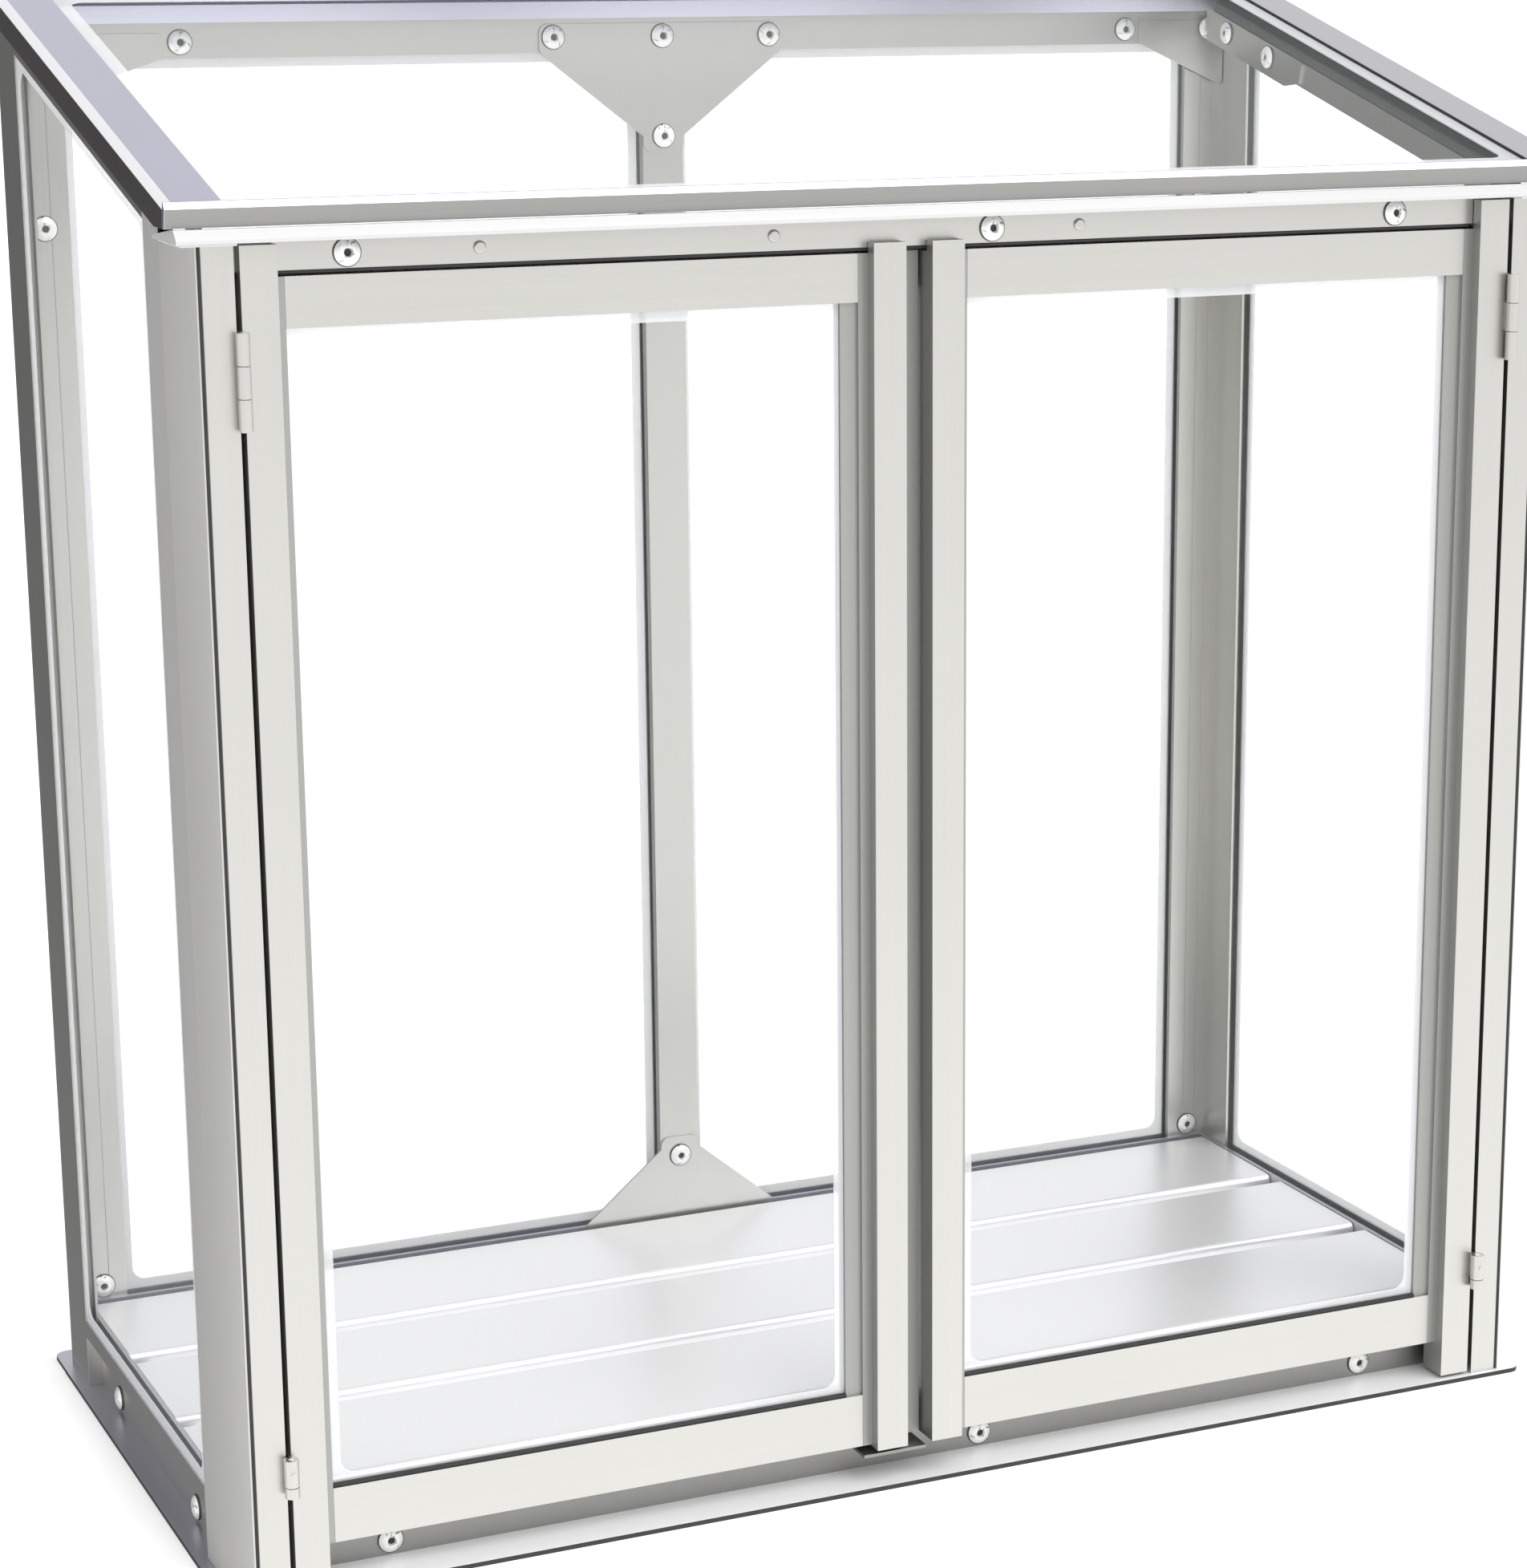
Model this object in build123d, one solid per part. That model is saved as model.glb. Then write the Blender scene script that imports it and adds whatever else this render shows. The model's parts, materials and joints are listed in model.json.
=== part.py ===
from build123d import *
import math
import os

os.makedirs("parts", exist_ok=True)

# Cold frame of aluminium extrusions: a glazed box on a flanged base, with two front doors and a sloping lid.
# Build frame: X to the right, Y backwards from the front face of the posts, Z up from the ground.
# Every node is moved at the end so that the origin is the middle of the footprint.

# ---------------------------------------------------------------- driving dimensions, millimetres
FRAME_WIDTH = 820.0          # over the side faces of the posts
FRAME_DEPTH = 396.0          # from the front face to the rear face of the posts
LID_FRONT_HEIGHT = 757.0     # height of the lid's top face above the front of the posts
LID_SLOPE = 14.5             # degrees, rising to the rear
DOOR_BOTTOM = 25.0           # underside of the doors' bottom rails
FLOOR_TOP = 45.5

WALL = 1.6                   # wall of the extrusions
GLASS = 4.0                  # every pane
GLASS_CLEARANCE = 0.4        # between a pane and each lip
GLASS_BITE = 7.0             # how far a pane enters its channel
LIP = 1.6                    # glazing lips
BEAD_THICKNESS = 1.2
BEAD_WIDTH = 6.0
LID_BEAD_WIDTH = 10.0
BEAD_CORNER = 8.0

FLANGE_THICKNESS = 3.0
FLANGE_FRONT = 31.0          # width of the ground flange in front of the front wall
FLANGE_SIDE = 15.0
FLANGE_REAR = 31.0
FLANGE_CORNER = 8.0
BASE_HEIGHT = 46.0
BASE_SHELF = 35.0            # underside of the shelf that carries the fixed panes
FRONT_WALL_SETBACK = 28.0    # front base wall, behind the front of the posts

POST_FLAT = 20.0             # front flat of a front post
POST_JAMB_DEPTH = 28.0
POST_SLANT_DEPTH = 34.0
POST_SIDE_DEPTH = 67.0
POST_SLANT_WIDTH = 9.0       # the slanting face, along X
POST_LEG = 8.0               # thickness of a post's side leg
GROOVE_WIDTH = 2.0
GROOVE_DEPTH = 0.9
GROOVE_INSET = 2.0
FRONT_POST_DROP = 23.5       # top of a front post below the lid's top face
POST_CAP = 1.5                # plastic cap between a front post and the eave lip
REAR_LEG = 35.0              # rear leg of a rear post, along X
REAR_SIDE_LEG = 46.0         # side leg of a rear post, along Y
REAR_WALL = 10.0             # thickness of the rear wall's extrusions

EAVE_FACE = 8.5              # the eave rail's face and the doors' rail faces, behind the rib fronts
EAVE_HEIGHT = 16.0           # visible face of the eave rail
EAVE_LIP = 7.0
EAVE_LIP_FRONT = -12.0
EAVE_LIP_CHAMFER = 5.0
EAVE_LIP_BEYOND = 3.0        # past the side faces of the posts
EAVE_BACK = 26.0
EAVE_STOP = 24.0             # how far the stop reaches down behind the doors
DOOR_TOP_GAP = 3.0
EAVE_BACK_SHELF = 36.0

REAR_RAIL = 26.0
CENTRE_BAR = 27.0
CENTRE_BAR_CORE = 19.0
SIDE_RAIL_DROP = 16.5        # depth of a side top rail's inner face, square to the slope
SIDE_RAIL_WIDTH = 23.0       # from that face to the outside

DOOR_THICKNESS = 20.5
RIB_WIDTH = 19.5
HINGE_GAP = 2.8              # between a post's jamb and a door's hinge stile
LEFT_MEETING_RIB = -9.6      # inner edge of the left door's meeting rib
RIGHT_MEETING_RIB = 6.0      # inner edge of the right door's meeting rib
MEETING_OVERLAP_TIP = 4.6    # edge of the cover flange on the left door
WIDE_FLANGE = 15.4           # glazing flange of each door's right-hand stile, beyond its rib
NARROW_FLANGE = 6.0          # glazing flange of each door's left-hand stile
STILE_STEP = 5.6
STILE_FLANGE_FACE = 11.0
DOOR_BOTTOM_RAIL = 32.0
DOOR_TOP_RAIL = 26.5
RIB_ABOVE_DOOR = 6.0
RIB_TOP_DEPTH = 8.0          # depth of the rib where it passes in front of the eave rail
HINGE_RIB_BOTTOM = 5.0
MEETING_RIB_BOTTOM = 24.0
DOOR_PANE_FRONT = 14.0
GASKET_HEIGHT = 1.8

KNUCKLE_RADIUS = 3.6
PINTLE_RADIUS = 4.1          # barrels of the lower hinges
PINTLE_FOOT = 6.0            # height of the lower hinge's fixed barrel
PINTLE_STUD = 1.4
PIN_RADIUS = 1.5
PIN_CLEARANCE = 0.05
HINGE_LENGTH = 50.0
LOWER_HINGE = 62.0           # underside of the lower hinge above the ground
UPPER_HINGE = 76.0           # underside of the upper hinge below the doors' top
KNUCKLE_GAP = 0.4
LEAF = 1.2
LEAF_DEPTH = 17.0
HINGE_STAND_OFF = 5.0        # pin axis in front of the posts' front face
PINTLE_TOP = 84.0

LID_OVERHANG = 7.0           # beyond the side faces of the posts
LID_FRONT_EDGE = -8.0        # along the slope from the post fronts
LID_SIDE_RAIL = 30.0
LID_THICKNESS = 18.0
LID_FRONT_THICKNESS = 14.0
LID_FRONT_RAIL = 22.0
LID_REAR_RAIL = 28.0
LID_BEVEL = 4.0
LID_PANE_DROP = 3.0          # pane top below the lid rails' top face
LID_GAP = 0.5                # between the lid and the rails it closes on
LID_HINGE_RADIUS = 3.0
LID_SOCKET_WALL = 1.8
LID_SOCKET_CLEARANCE = 0.3
LID_HINGE_BEYOND = 3.0       # lid hinge axis behind the rear face of the posts
LID_NECK_ANGLE = 140.0       # direction of the lid's hinge neck, from +Y towards +Z
LID_NECK = 2.0
LID_SOCKET_MOUTH = (40.0, 160.0)

SLAT_GAP = 15.0
SLAT_FRONT = 22.0            # front edge of the front slat, behind the front base wall
SLAT_REAR = 6.0
SLAT_NOSE_EXTRA = 12.0       # the front slat is this much deeper than the others
SLAT_SHEET = 1.6
SLAT_SKIRT = 11.5
SLAT_NOSE = 7.0              # rounding of the front slat's front edge
SLAT_EDGE = 4.0              # and of the other two

BOLT_RADIUS = 3.0
BOLT_HEAD_RADIUS = 7.6
BOLT_HEAD = 3.4
BOLT_HOLE_CLEARANCE = 0.3
NUT_FLATS = 10.0
NUT_THICKNESS = 3.8
RIVET_RADIUS = 2.0
RIVET_HEAD_RADIUS = 3.4
RIVET_HEAD = 1.6
REAR_BOLT_RISE = 9.5         # bolts above the underside of the rear top rail
GUSSET = 1.5

STAY_LENGTH = 190.0
STAY_WIDTH = 14.0
STAY_THICKNESS = 2.0
STAY_PIVOT_Y = 86.0
STAY_PIN_RADIUS = 2.5
STAY_OFFSET = 4.1            # outer face of the stay, inside the lid's side rail
STAY_DROP = 16.0             # stay pivot below the lid's top face

# bolt places, measured from the nearest post so that they follow the frame's size
BASE_BOLTS = (65.0, 50.0, 66.0)        # from the left jamb, right of the middle, from the right jamb
EAVE_BOLTS = (61.0, 46.0, 76.0)
EAVE_RIVETS = (-249.0, -84.0, 100.0)   # these three stay with the catches, from the middle
REAR_BOLTS = (70.0, 47.0)              # from the left and right rear legs
REAR_CORNER_GUSSETS = (86.0, 64.0)     # width of the left and right plates
SIDE_BOLTS = (51.0, 50.0)              # from the front and rear posts
SIDE_RAIL_BOLTS = (89.5, 35.5)         # in front of the rear rails
STRIKE_X = 72.0
KEEPER = (-36.0, 4.0)

# ---------------------------------------------------------------- values worked out from them
HALF = FRAME_WIDTH / 2
POST_FRONT_HALF = HALF - POST_SLANT_WIDTH
LID_HALF = HALF + LID_OVERHANG
SIDE_RAIL_INNER = HALF - SIDE_RAIL_WIDTH
STAY_X = SIDE_RAIL_INNER - STAY_OFFSET
FRONT_POST_TOP = LID_FRONT_HEIGHT - FRONT_POST_DROP
EAVE_LIP_LOW = FRONT_POST_TOP + POST_CAP
EAVE_LIP_TOP = EAVE_LIP_LOW + EAVE_LIP
EAVE_LOW = EAVE_LIP_LOW - EAVE_HEIGHT
EAVE_STOP_LOW = EAVE_LOW - EAVE_STOP
DOOR_TOP = EAVE_LOW - DOOR_TOP_GAP
RIB_TOP = DOOR_TOP + RIB_ABOVE_DOOR
HINGE_RIB_TOP = FRONT_POST_TOP - 0.5
UPPER_HINGE_LOW = DOOR_TOP - UPPER_HINGE
BASE_OUT = HALF - POST_LEG                    # outer face of the side base walls
JAMB = POST_FRONT_HALF - POST_FLAT            # jamb face of a front post
REAR_IN = FRAME_DEPTH - REAR_WALL             # outer face of the rear base wall, inner face of the rear posts
FLANGE_HALF = BASE_OUT + FLANGE_SIDE
FLANGE_Y0 = FRONT_WALL_SETBACK - FLANGE_FRONT
FLANGE_Y1 = REAR_IN + FLANGE_REAR
RAIL_PLANE = REAR_IN - 2.5                    # inner face of the rear rails
HINGE_STILE_OUT = JAMB - HINGE_GAP
HINGE_STILE_IN = HINGE_STILE_OUT - RIB_WIDTH
HINGE_X = JAMB - HINGE_GAP / 2
SLOPE_TAN = math.tan(math.radians(LID_SLOPE))
SLOPE_COS = math.cos(math.radians(LID_SLOPE))
SLOPE_SIN = math.sin(math.radians(LID_SLOPE))
PANE_SLOT = GLASS + 2 * GLASS_CLEARANCE
SIDE_PANE_OUT = HALF - LIP - GLASS_CLEARANCE  # outer face of a side pane
REAR_PANE_OUT = FRAME_DEPTH - LIP - GLASS_CLEARANCE
REAR_LIP = REAR_PANE_OUT - GLASS - GLASS_CLEARANCE
REAR_RAIL_HIGH = LID_FRONT_HEIGHT + RAIL_PLANE * SLOPE_TAN - (LID_THICKNESS + LID_GAP) / SLOPE_COS
REAR_RAIL_LOW = REAR_RAIL_HIGH - REAR_RAIL
LID_PIVOT_Y = FRAME_DEPTH + LID_HINGE_BEYOND
LID_PIVOT_Z = REAR_RAIL_HIGH + 4.0
SIDE_TOP = -LID_THICKNESS - LID_GAP           # top of the side top rails, square to the slope
LID_REAR_EDGE = (LID_PIVOT_Y - 9.0 - LID_THICKNESS * SLOPE_SIN) / SLOPE_COS
STAY_U = STAY_PIVOT_Y / SLOPE_COS
DOOR_LIP_FRONT = DOOR_PANE_FRONT - GLASS_CLEARANCE
DOOR_LIP_BACK = DOOR_PANE_FRONT + GLASS + GLASS_CLEARANCE
TALL = LID_FRONT_HEIGHT + 300               # above everything, for cutting blocks
ORIGIN_Y = (EAVE_LIP_FRONT + FLANGE_Y1) / 2

ROOF = Location((0, 0, LID_FRONT_HEIGHT)) * Location((0, 0, 0), (LID_SLOPE, 0, 0))
nodes = {}
holes = []


def roof_z(y, drop=0.0):
    """Height of a plane that lies `drop` below the lid's top face, at depth y."""
    return LID_FRONT_HEIGHT + y * SLOPE_TAN - drop / SLOPE_COS


# ---------------------------------------------------------------- small helpers
def block(x0, x1, y0, y1, z0, z1):
    """A box given by its six faces."""
    size = (abs(x1 - x0), abs(y1 - y0), abs(z1 - z0))
    return Pos((x0 + x1) / 2, (y0 + y1) / 2, (z0 + z1) / 2) * Box(*size)


def along_x(points, x0, x1):
    """A section of (y, z) points, run from x0 to x1."""
    face = make_face(Polyline(*[(x0, y, z) for y, z in points], close=True))
    return extrude(face, amount=x1 - x0, dir=(1, 0, 0))


def along_y(points, y0, y1):
    """A section of (x, z) points, run from y0 to y1."""
    face = make_face(Polyline(*[(x, y0, z) for x, z in points], close=True))
    return extrude(face, amount=y1 - y0, dir=(0, 1, 0))


def along_z(points, z0, z1):
    """A section of (x, y) points, run from z0 to z1."""
    face = make_face(Polyline(*[(x, y, z0) for x, y in points], close=True))
    return extrude(face, amount=z1 - z0, dir=(0, 0, 1))


def rod(x, y, z, radius, length, axis):
    """A cylinder that starts at a point and runs along an axis."""
    plane = Plane(origin=(x, y, z), z_dir=axis)
    return plane * Cylinder(radius, length, align=(Align.CENTER, Align.CENTER, Align.MIN))


def mirrored(shape):
    """The same shape on the other side of the middle."""
    return mirror(shape, about=Plane.YZ)


def pair(name, shape):
    """Left and right nodes from the right-hand shape."""
    nodes["right_" + name] = shape
    nodes["left_" + name] = mirrored(shape)


def below_roof(shape, drop):
    """Cut a shape off at the plane that lies `drop` below the lid's top face."""
    cutter = ROOF * Pos(0, 0, 500 - drop) * Box(3000, 3000, 1000)
    return shape - cutter


# ---------------------------------------------------------------- base frame
def base_end_rail(wall_y, out, flange):
    """Front or rear base rail. `out` is -1 towards the front and +1 towards the rear."""
    inner = wall_y - out * 2.5
    tip = wall_y + out * flange
    rail = block(-BASE_OUT, BASE_OUT, inner, wall_y, 0, BASE_HEIGHT)
    foot = block(-FLANGE_HALF, FLANGE_HALF, wall_y, tip, 0, FLANGE_THICKNESS)
    corners = [e for e in foot.edges().filter_by(Axis.Z) if abs(e.center().Y - tip) < 0.01]
    foot = fillet(corners, FLANGE_CORNER)
    ledge = block(-BASE_OUT + 2.5, BASE_OUT - 2.5, inner, inner - out * 8, 31.5, 34)
    return rail + foot + ledge


def make_base():
    front = base_end_rail(FRONT_WALL_SETBACK, -1, FLANGE_FRONT)
    rear = base_end_rail(REAR_IN, 1, FLANGE_REAR)
    rear_shelf = block(-HALF + REAR_LEG, HALF - REAR_LEG, REAR_IN, FRAME_DEPTH, BASE_SHELF, BASE_SHELF + 2)
    rear_lip = block(-HALF + REAR_LEG, HALF - REAR_LEG, FRAME_DEPTH - LIP, FRAME_DEPTH,
                     BASE_SHELF, BASE_HEIGHT)
    nodes["front_base_rail"] = front
    nodes["rear_base_rail"] = rear + rear_shelf + rear_lip

    y0 = FRONT_WALL_SETBACK + 2.5
    y1 = REAR_IN - 2.5
    wall = block(BASE_OUT - 2.5, BASE_OUT, y0, y1, 0, BASE_HEIGHT)
    foot = block(BASE_OUT, FLANGE_HALF, FRONT_WALL_SETBACK, REAR_IN, 0, FLANGE_THICKNESS)
    ledge = block(BASE_OUT - 16, BASE_OUT - 2.5, y0 + 8, y1 - 8, 31.5, 34)
    post_end = FRAME_DEPTH - REAR_SIDE_LEG
    shelf = block(BASE_OUT, HALF, POST_SIDE_DEPTH, post_end, BASE_SHELF, BASE_SHELF + 2)
    lip = block(HALF - LIP, HALF, POST_SIDE_DEPTH, post_end, BASE_SHELF, BASE_HEIGHT)
    pair("base_rail", wall + foot + ledge + shelf + lip)


def make_keeper():
    """Plate standing out of the front base wall, under the meeting ribs."""
    x0, x1 = KEEPER
    nodes["door_keeper"] = block(x0, x1, 4, FRONT_WALL_SETBACK, 19, 21)


def make_floor():
    """Three slats of folded sheet, each with a rounded front edge."""
    names = ("front_floor_slat", "middle_floor_slat", "rear_floor_slat")
    start = FRONT_WALL_SETBACK + SLAT_FRONT
    room = RAIL_PLANE - SLAT_REAR - start - SLAT_NOSE_EXTRA - 2 * SLAT_GAP
    width = room / 3
    edges = []
    for extra in (SLAT_NOSE_EXTRA, 0, 0):
        edges.append((start, start + width + extra))
        start += width + extra + SLAT_GAP
    reach = BASE_OUT - 2.5 - 0.5
    for name, (y0, y1) in zip(names, edges):
        outer = block(-reach, reach, y0, y1, FLOOR_TOP - SLAT_SKIRT, FLOOR_TOP)
        inner = block(-reach, reach, y0 + SLAT_SHEET, y1 - SLAT_SHEET,
                      FLOOR_TOP - SLAT_SKIRT, FLOOR_TOP - SLAT_SHEET)
        radius = SLAT_NOSE if name == "front_floor_slat" else SLAT_EDGE
        nose = [e for e in outer.edges().filter_by(Axis.X)
                if e.center().Y < y0 + 0.1 and e.center().Z > FLOOR_TOP - 0.1]
        outer = fillet(nose, radius)
        inside = [e for e in inner.edges().filter_by(Axis.X)
                  if e.center().Y < y0 + SLAT_SHEET + 0.1 and e.center().Z > FLOOR_TOP - SLAT_SHEET - 0.1]
        inner = fillet(inside, radius - SLAT_SHEET)
        nodes[name] = outer - inner


# ---------------------------------------------------------------- posts
def make_front_posts():
    outline = [
        (JAMB, 0),
        (POST_FRONT_HALF, 0),
        (HALF, POST_SLANT_DEPTH),
        (HALF, POST_SIDE_DEPTH),
        (BASE_OUT, POST_SIDE_DEPTH),
        (BASE_OUT, POST_JAMB_DEPTH),
        (JAMB, POST_JAMB_DEPTH),
    ]
    tall = FRONT_POST_TOP + 60
    post = along_z(outline, FLANGE_THICKNESS, tall)
    hollow = [
        (JAMB + WALL, WALL + GROOVE_DEPTH),
        (POST_FRONT_HALF - WALL, WALL + GROOVE_DEPTH),
        (HALF - WALL, POST_SLANT_DEPTH),
        (HALF - WALL, POST_SIDE_DEPTH - GLASS_BITE - 4),
        (BASE_OUT + WALL, POST_SIDE_DEPTH - GLASS_BITE - 4),
        (BASE_OUT + WALL, POST_JAMB_DEPTH - WALL),
        (JAMB + WALL, POST_JAMB_DEPTH - WALL),
    ]
    post -= along_z(hollow, 0, tall + 1)
    groove_x = POST_FRONT_HALF - GROOVE_INSET
    post -= block(groove_x - GROOVE_WIDTH / 2, groove_x + GROOVE_WIDTH / 2, -1, GROOVE_DEPTH,
                  0, tall + 1)
    slot_in = SIDE_PANE_OUT - GLASS - GLASS_CLEARANCE
    post -= block(slot_in, SIDE_PANE_OUT + GLASS_CLEARANCE, POST_SIDE_DEPTH - GLASS_BITE - 1,
                  POST_SIDE_DEPTH + 1, BASE_SHELF, tall + 1)
    post -= block(JAMB - 1, HALF + 1, -1, EAVE_BACK_SHELF, FRONT_POST_TOP, tall + 1)
    pair("front_post", below_roof(post, -SIDE_TOP + 2.4))
    cap = block(JAMB, HALF, EAVE_LIP_FRONT + 4, EAVE_BACK_SHELF, FRONT_POST_TOP, EAVE_LIP_LOW)
    nodes["post_caps"] = Compound([cap, mirrored(cap)])


def make_rear_posts():
    """Angle posts: a side leg and a rear leg, each with a glazing slot, and two ribs up the inside."""
    side = block(BASE_OUT, HALF, FRAME_DEPTH - REAR_SIDE_LEG, FRAME_DEPTH, FLANGE_THICKNESS, TALL)
    rear = block(HALF - REAR_LEG, BASE_OUT, REAR_IN, FRAME_DEPTH, FLANGE_THICKNESS, TALL)
    post = side + rear
    slot_in = SIDE_PANE_OUT - GLASS - GLASS_CLEARANCE
    front_edge = FRAME_DEPTH - REAR_SIDE_LEG
    post -= block(slot_in, SIDE_PANE_OUT + GLASS_CLEARANCE, front_edge - 1, front_edge + GLASS_BITE + 1,
                  BASE_SHELF, TALL)
    slot_y = REAR_PANE_OUT - GLASS - GLASS_CLEARANCE
    inner_edge = HALF - REAR_LEG
    post -= block(inner_edge - 1, inner_edge + GLASS_BITE + 1, slot_y, REAR_PANE_OUT + GLASS_CLEARANCE,
                  BASE_SHELF, TALL)
    core_y0 = front_edge + GLASS_BITE + 3
    post -= block(BASE_OUT + WALL, HALF - WALL, core_y0, FRAME_DEPTH - WALL, 0, TALL)
    post -= block(inner_edge + GLASS_BITE + 3, BASE_OUT - 1, REAR_IN + WALL, FRAME_DEPTH - WALL, 0, TALL)
    for x in (inner_edge + 11, inner_edge + 20):
        post -= block(x, x + 1.4, REAR_IN - 1, REAR_IN + 0.6, BASE_HEIGHT, TALL)
    pair("rear_post", below_roof(post, -SIDE_TOP + 2.4))


# ---------------------------------------------------------------- top rails
def make_eave_rail():
    """Fixed rail over the doors: a face with a forward lip, and a stop behind the doors."""
    between = [
        (EAVE_FACE, EAVE_LOW),
        (EAVE_BACK - 2, EAVE_LOW),
        (EAVE_BACK - 2, EAVE_STOP_LOW),
        (EAVE_BACK, EAVE_STOP_LOW),
        (EAVE_BACK, EAVE_LIP_LOW),
        (EAVE_FACE, EAVE_LIP_LOW),
    ]
    body = along_x(between, -JAMB, JAMB)
    body -= block(-JAMB, JAMB, EAVE_FACE + 2, EAVE_BACK - 2, EAVE_LOW + WALL, EAVE_LIP_LOW)
    lip = [
        (EAVE_LIP_FRONT, EAVE_LIP_LOW),
        (EAVE_BACK_SHELF, EAVE_LIP_LOW),
        (EAVE_BACK_SHELF, EAVE_LIP_LOW + 2),
        (EAVE_LIP_FRONT + EAVE_LIP_CHAMFER + 4, EAVE_LIP_TOP),
        (EAVE_LIP_FRONT + EAVE_LIP_CHAMFER, EAVE_LIP_TOP),
        (EAVE_LIP_FRONT, EAVE_LIP_TOP - EAVE_LIP_CHAMFER),
    ]
    reach = HALF + EAVE_LIP_BEYOND
    nodes["eave_rail"] = body + along_x(lip, -reach, reach)


def make_rear_top_rail():
    web = block(-BASE_OUT, BASE_OUT, RAIL_PLANE, REAR_IN, REAR_RAIL_LOW, REAR_RAIL_HIGH)
    ledge = block(-BASE_OUT, BASE_OUT, RAIL_PLANE - 3, RAIL_PLANE, REAR_RAIL_HIGH - 8, REAR_RAIL_HIGH - 4)
    reach = HALF - REAR_LEG
    top = block(-reach, reach, REAR_IN, FRAME_DEPTH, REAR_RAIL_HIGH - 2, REAR_RAIL_HIGH)
    outer = block(-reach, reach, FRAME_DEPTH - LIP, FRAME_DEPTH, REAR_RAIL_LOW, REAR_RAIL_HIGH)
    inner_lip = block(-reach, reach, REAR_IN, REAR_LIP, REAR_RAIL_LOW, REAR_RAIL_LOW + 3)
    clear = LID_HINGE_RADIUS + LID_SOCKET_CLEARANCE
    thick = clear + LID_SOCKET_WALL
    socket = rod(-reach, LID_PIVOT_Y, LID_PIVOT_Z, thick, 2 * reach, (1, 0, 0))
    neck = block(-reach, reach, FRAME_DEPTH - LIP, LID_PIVOT_Y, REAR_RAIL_HIGH - 8, LID_PIVOT_Z)
    socket = (socket + neck) - rod(-reach, LID_PIVOT_Y, LID_PIVOT_Z, clear, 2 * reach, (1, 0, 0))
    low, high = LID_SOCKET_MOUTH
    mouth = [(LID_PIVOT_Y, LID_PIVOT_Z)]
    for degrees in (low, (low + high) / 2, high):
        angle = math.radians(degrees)
        mouth.append((LID_PIVOT_Y + 14 * math.cos(angle), LID_PIVOT_Z + 14 * math.sin(angle)))
    socket -= along_x(mouth, -reach, reach)
    nodes["rear_top_rail"] = web + ledge + top + outer + inner_lip + socket


def make_side_top_rails():
    """Sloping rails under the lid's side rails, made in the roof plane and coped round the posts."""
    top = SIDE_TOP
    low = top - SIDE_RAIL_DROP
    reach = LID_PIVOT_Y
    y0 = EAVE_BACK_SHELF
    web = block(SIDE_RAIL_INNER, SIDE_RAIL_INNER + 2, 0, reach, low, top)
    plate = block(SIDE_RAIL_INNER, HALF, 0, reach, top - 2, top)
    outer = block(HALF - LIP, HALF, 0, reach, top - 12, top)
    inner = block(BASE_OUT - 0.4, BASE_OUT + 1.2, 0, reach, top - 12, top)
    bead = block(SIDE_RAIL_INNER - 3, SIDE_RAIL_INNER, 0, reach, top - 1.5, top)
    rail = ROOF * (web + plate + outer + inner + bead)
    far = RAIL_PLANE - GUSSET - BOLT_HEAD - 0.5
    ends = block(0, LID_HALF, y0, far, 0, TALL)
    post_front = block(BASE_OUT - 0.5, LID_HALF, -50, POST_SIDE_DEPTH, 0, TALL)
    post_rear = block(BASE_OUT - 0.5, LID_HALF, FRAME_DEPTH - REAR_SIDE_LEG, FLANGE_Y1, 0, TALL)
    rail = rail & ends
    caps = ROOF * block(BASE_OUT, HALF, 0, reach, top - 2, top)
    front_stub = caps & block(0, LID_HALF, y0, POST_SIDE_DEPTH, 0, TALL)
    rear_stub = caps & block(0, LID_HALF, FRAME_DEPTH - REAR_SIDE_LEG, FRAME_DEPTH, 0, TALL)
    pair("side_top_rail", rail - post_front - post_rear + front_stub + rear_stub)


def make_centre_bar():
    """Rear centre bar: a hollow core between an inner and an outer flange."""
    half = CENTRE_BAR / 2
    core = CENTRE_BAR_CORE / 2
    low = BASE_HEIGHT
    top = REAR_RAIL_LOW
    inner = block(-half, half, RAIL_PLANE, REAR_LIP, low, top)
    outer = block(-half, half, FRAME_DEPTH - LIP, FRAME_DEPTH, low, top)
    box = block(-core, core, REAR_LIP, FRAME_DEPTH, low, top)
    hollow = block(-core + WALL, core - WALL, RAIL_PLANE + 2, FRAME_DEPTH - LIP, low - 1, top + 1)
    nodes["rear_centre_bar"] = inner + outer + box - hollow


# ---------------------------------------------------------------- gussets
def plate(points, y0, corner=6.0, sharp=()):
    """A gusset plate of (x, z) points; the corners not in `sharp` are rounded."""
    body = along_y(points, y0, y0 + GUSSET)
    ends = [points[i] for i in range(len(points)) if i not in sharp]
    picked = []
    for edge in body.edges().filter_by(Axis.Y):
        centre = edge.center()
        if any(abs(centre.X - x) < 0.01 and abs(centre.Z - z) < 0.01 for x, z in ends):
            picked.append(edge)
    return fillet(picked, corner)


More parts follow.
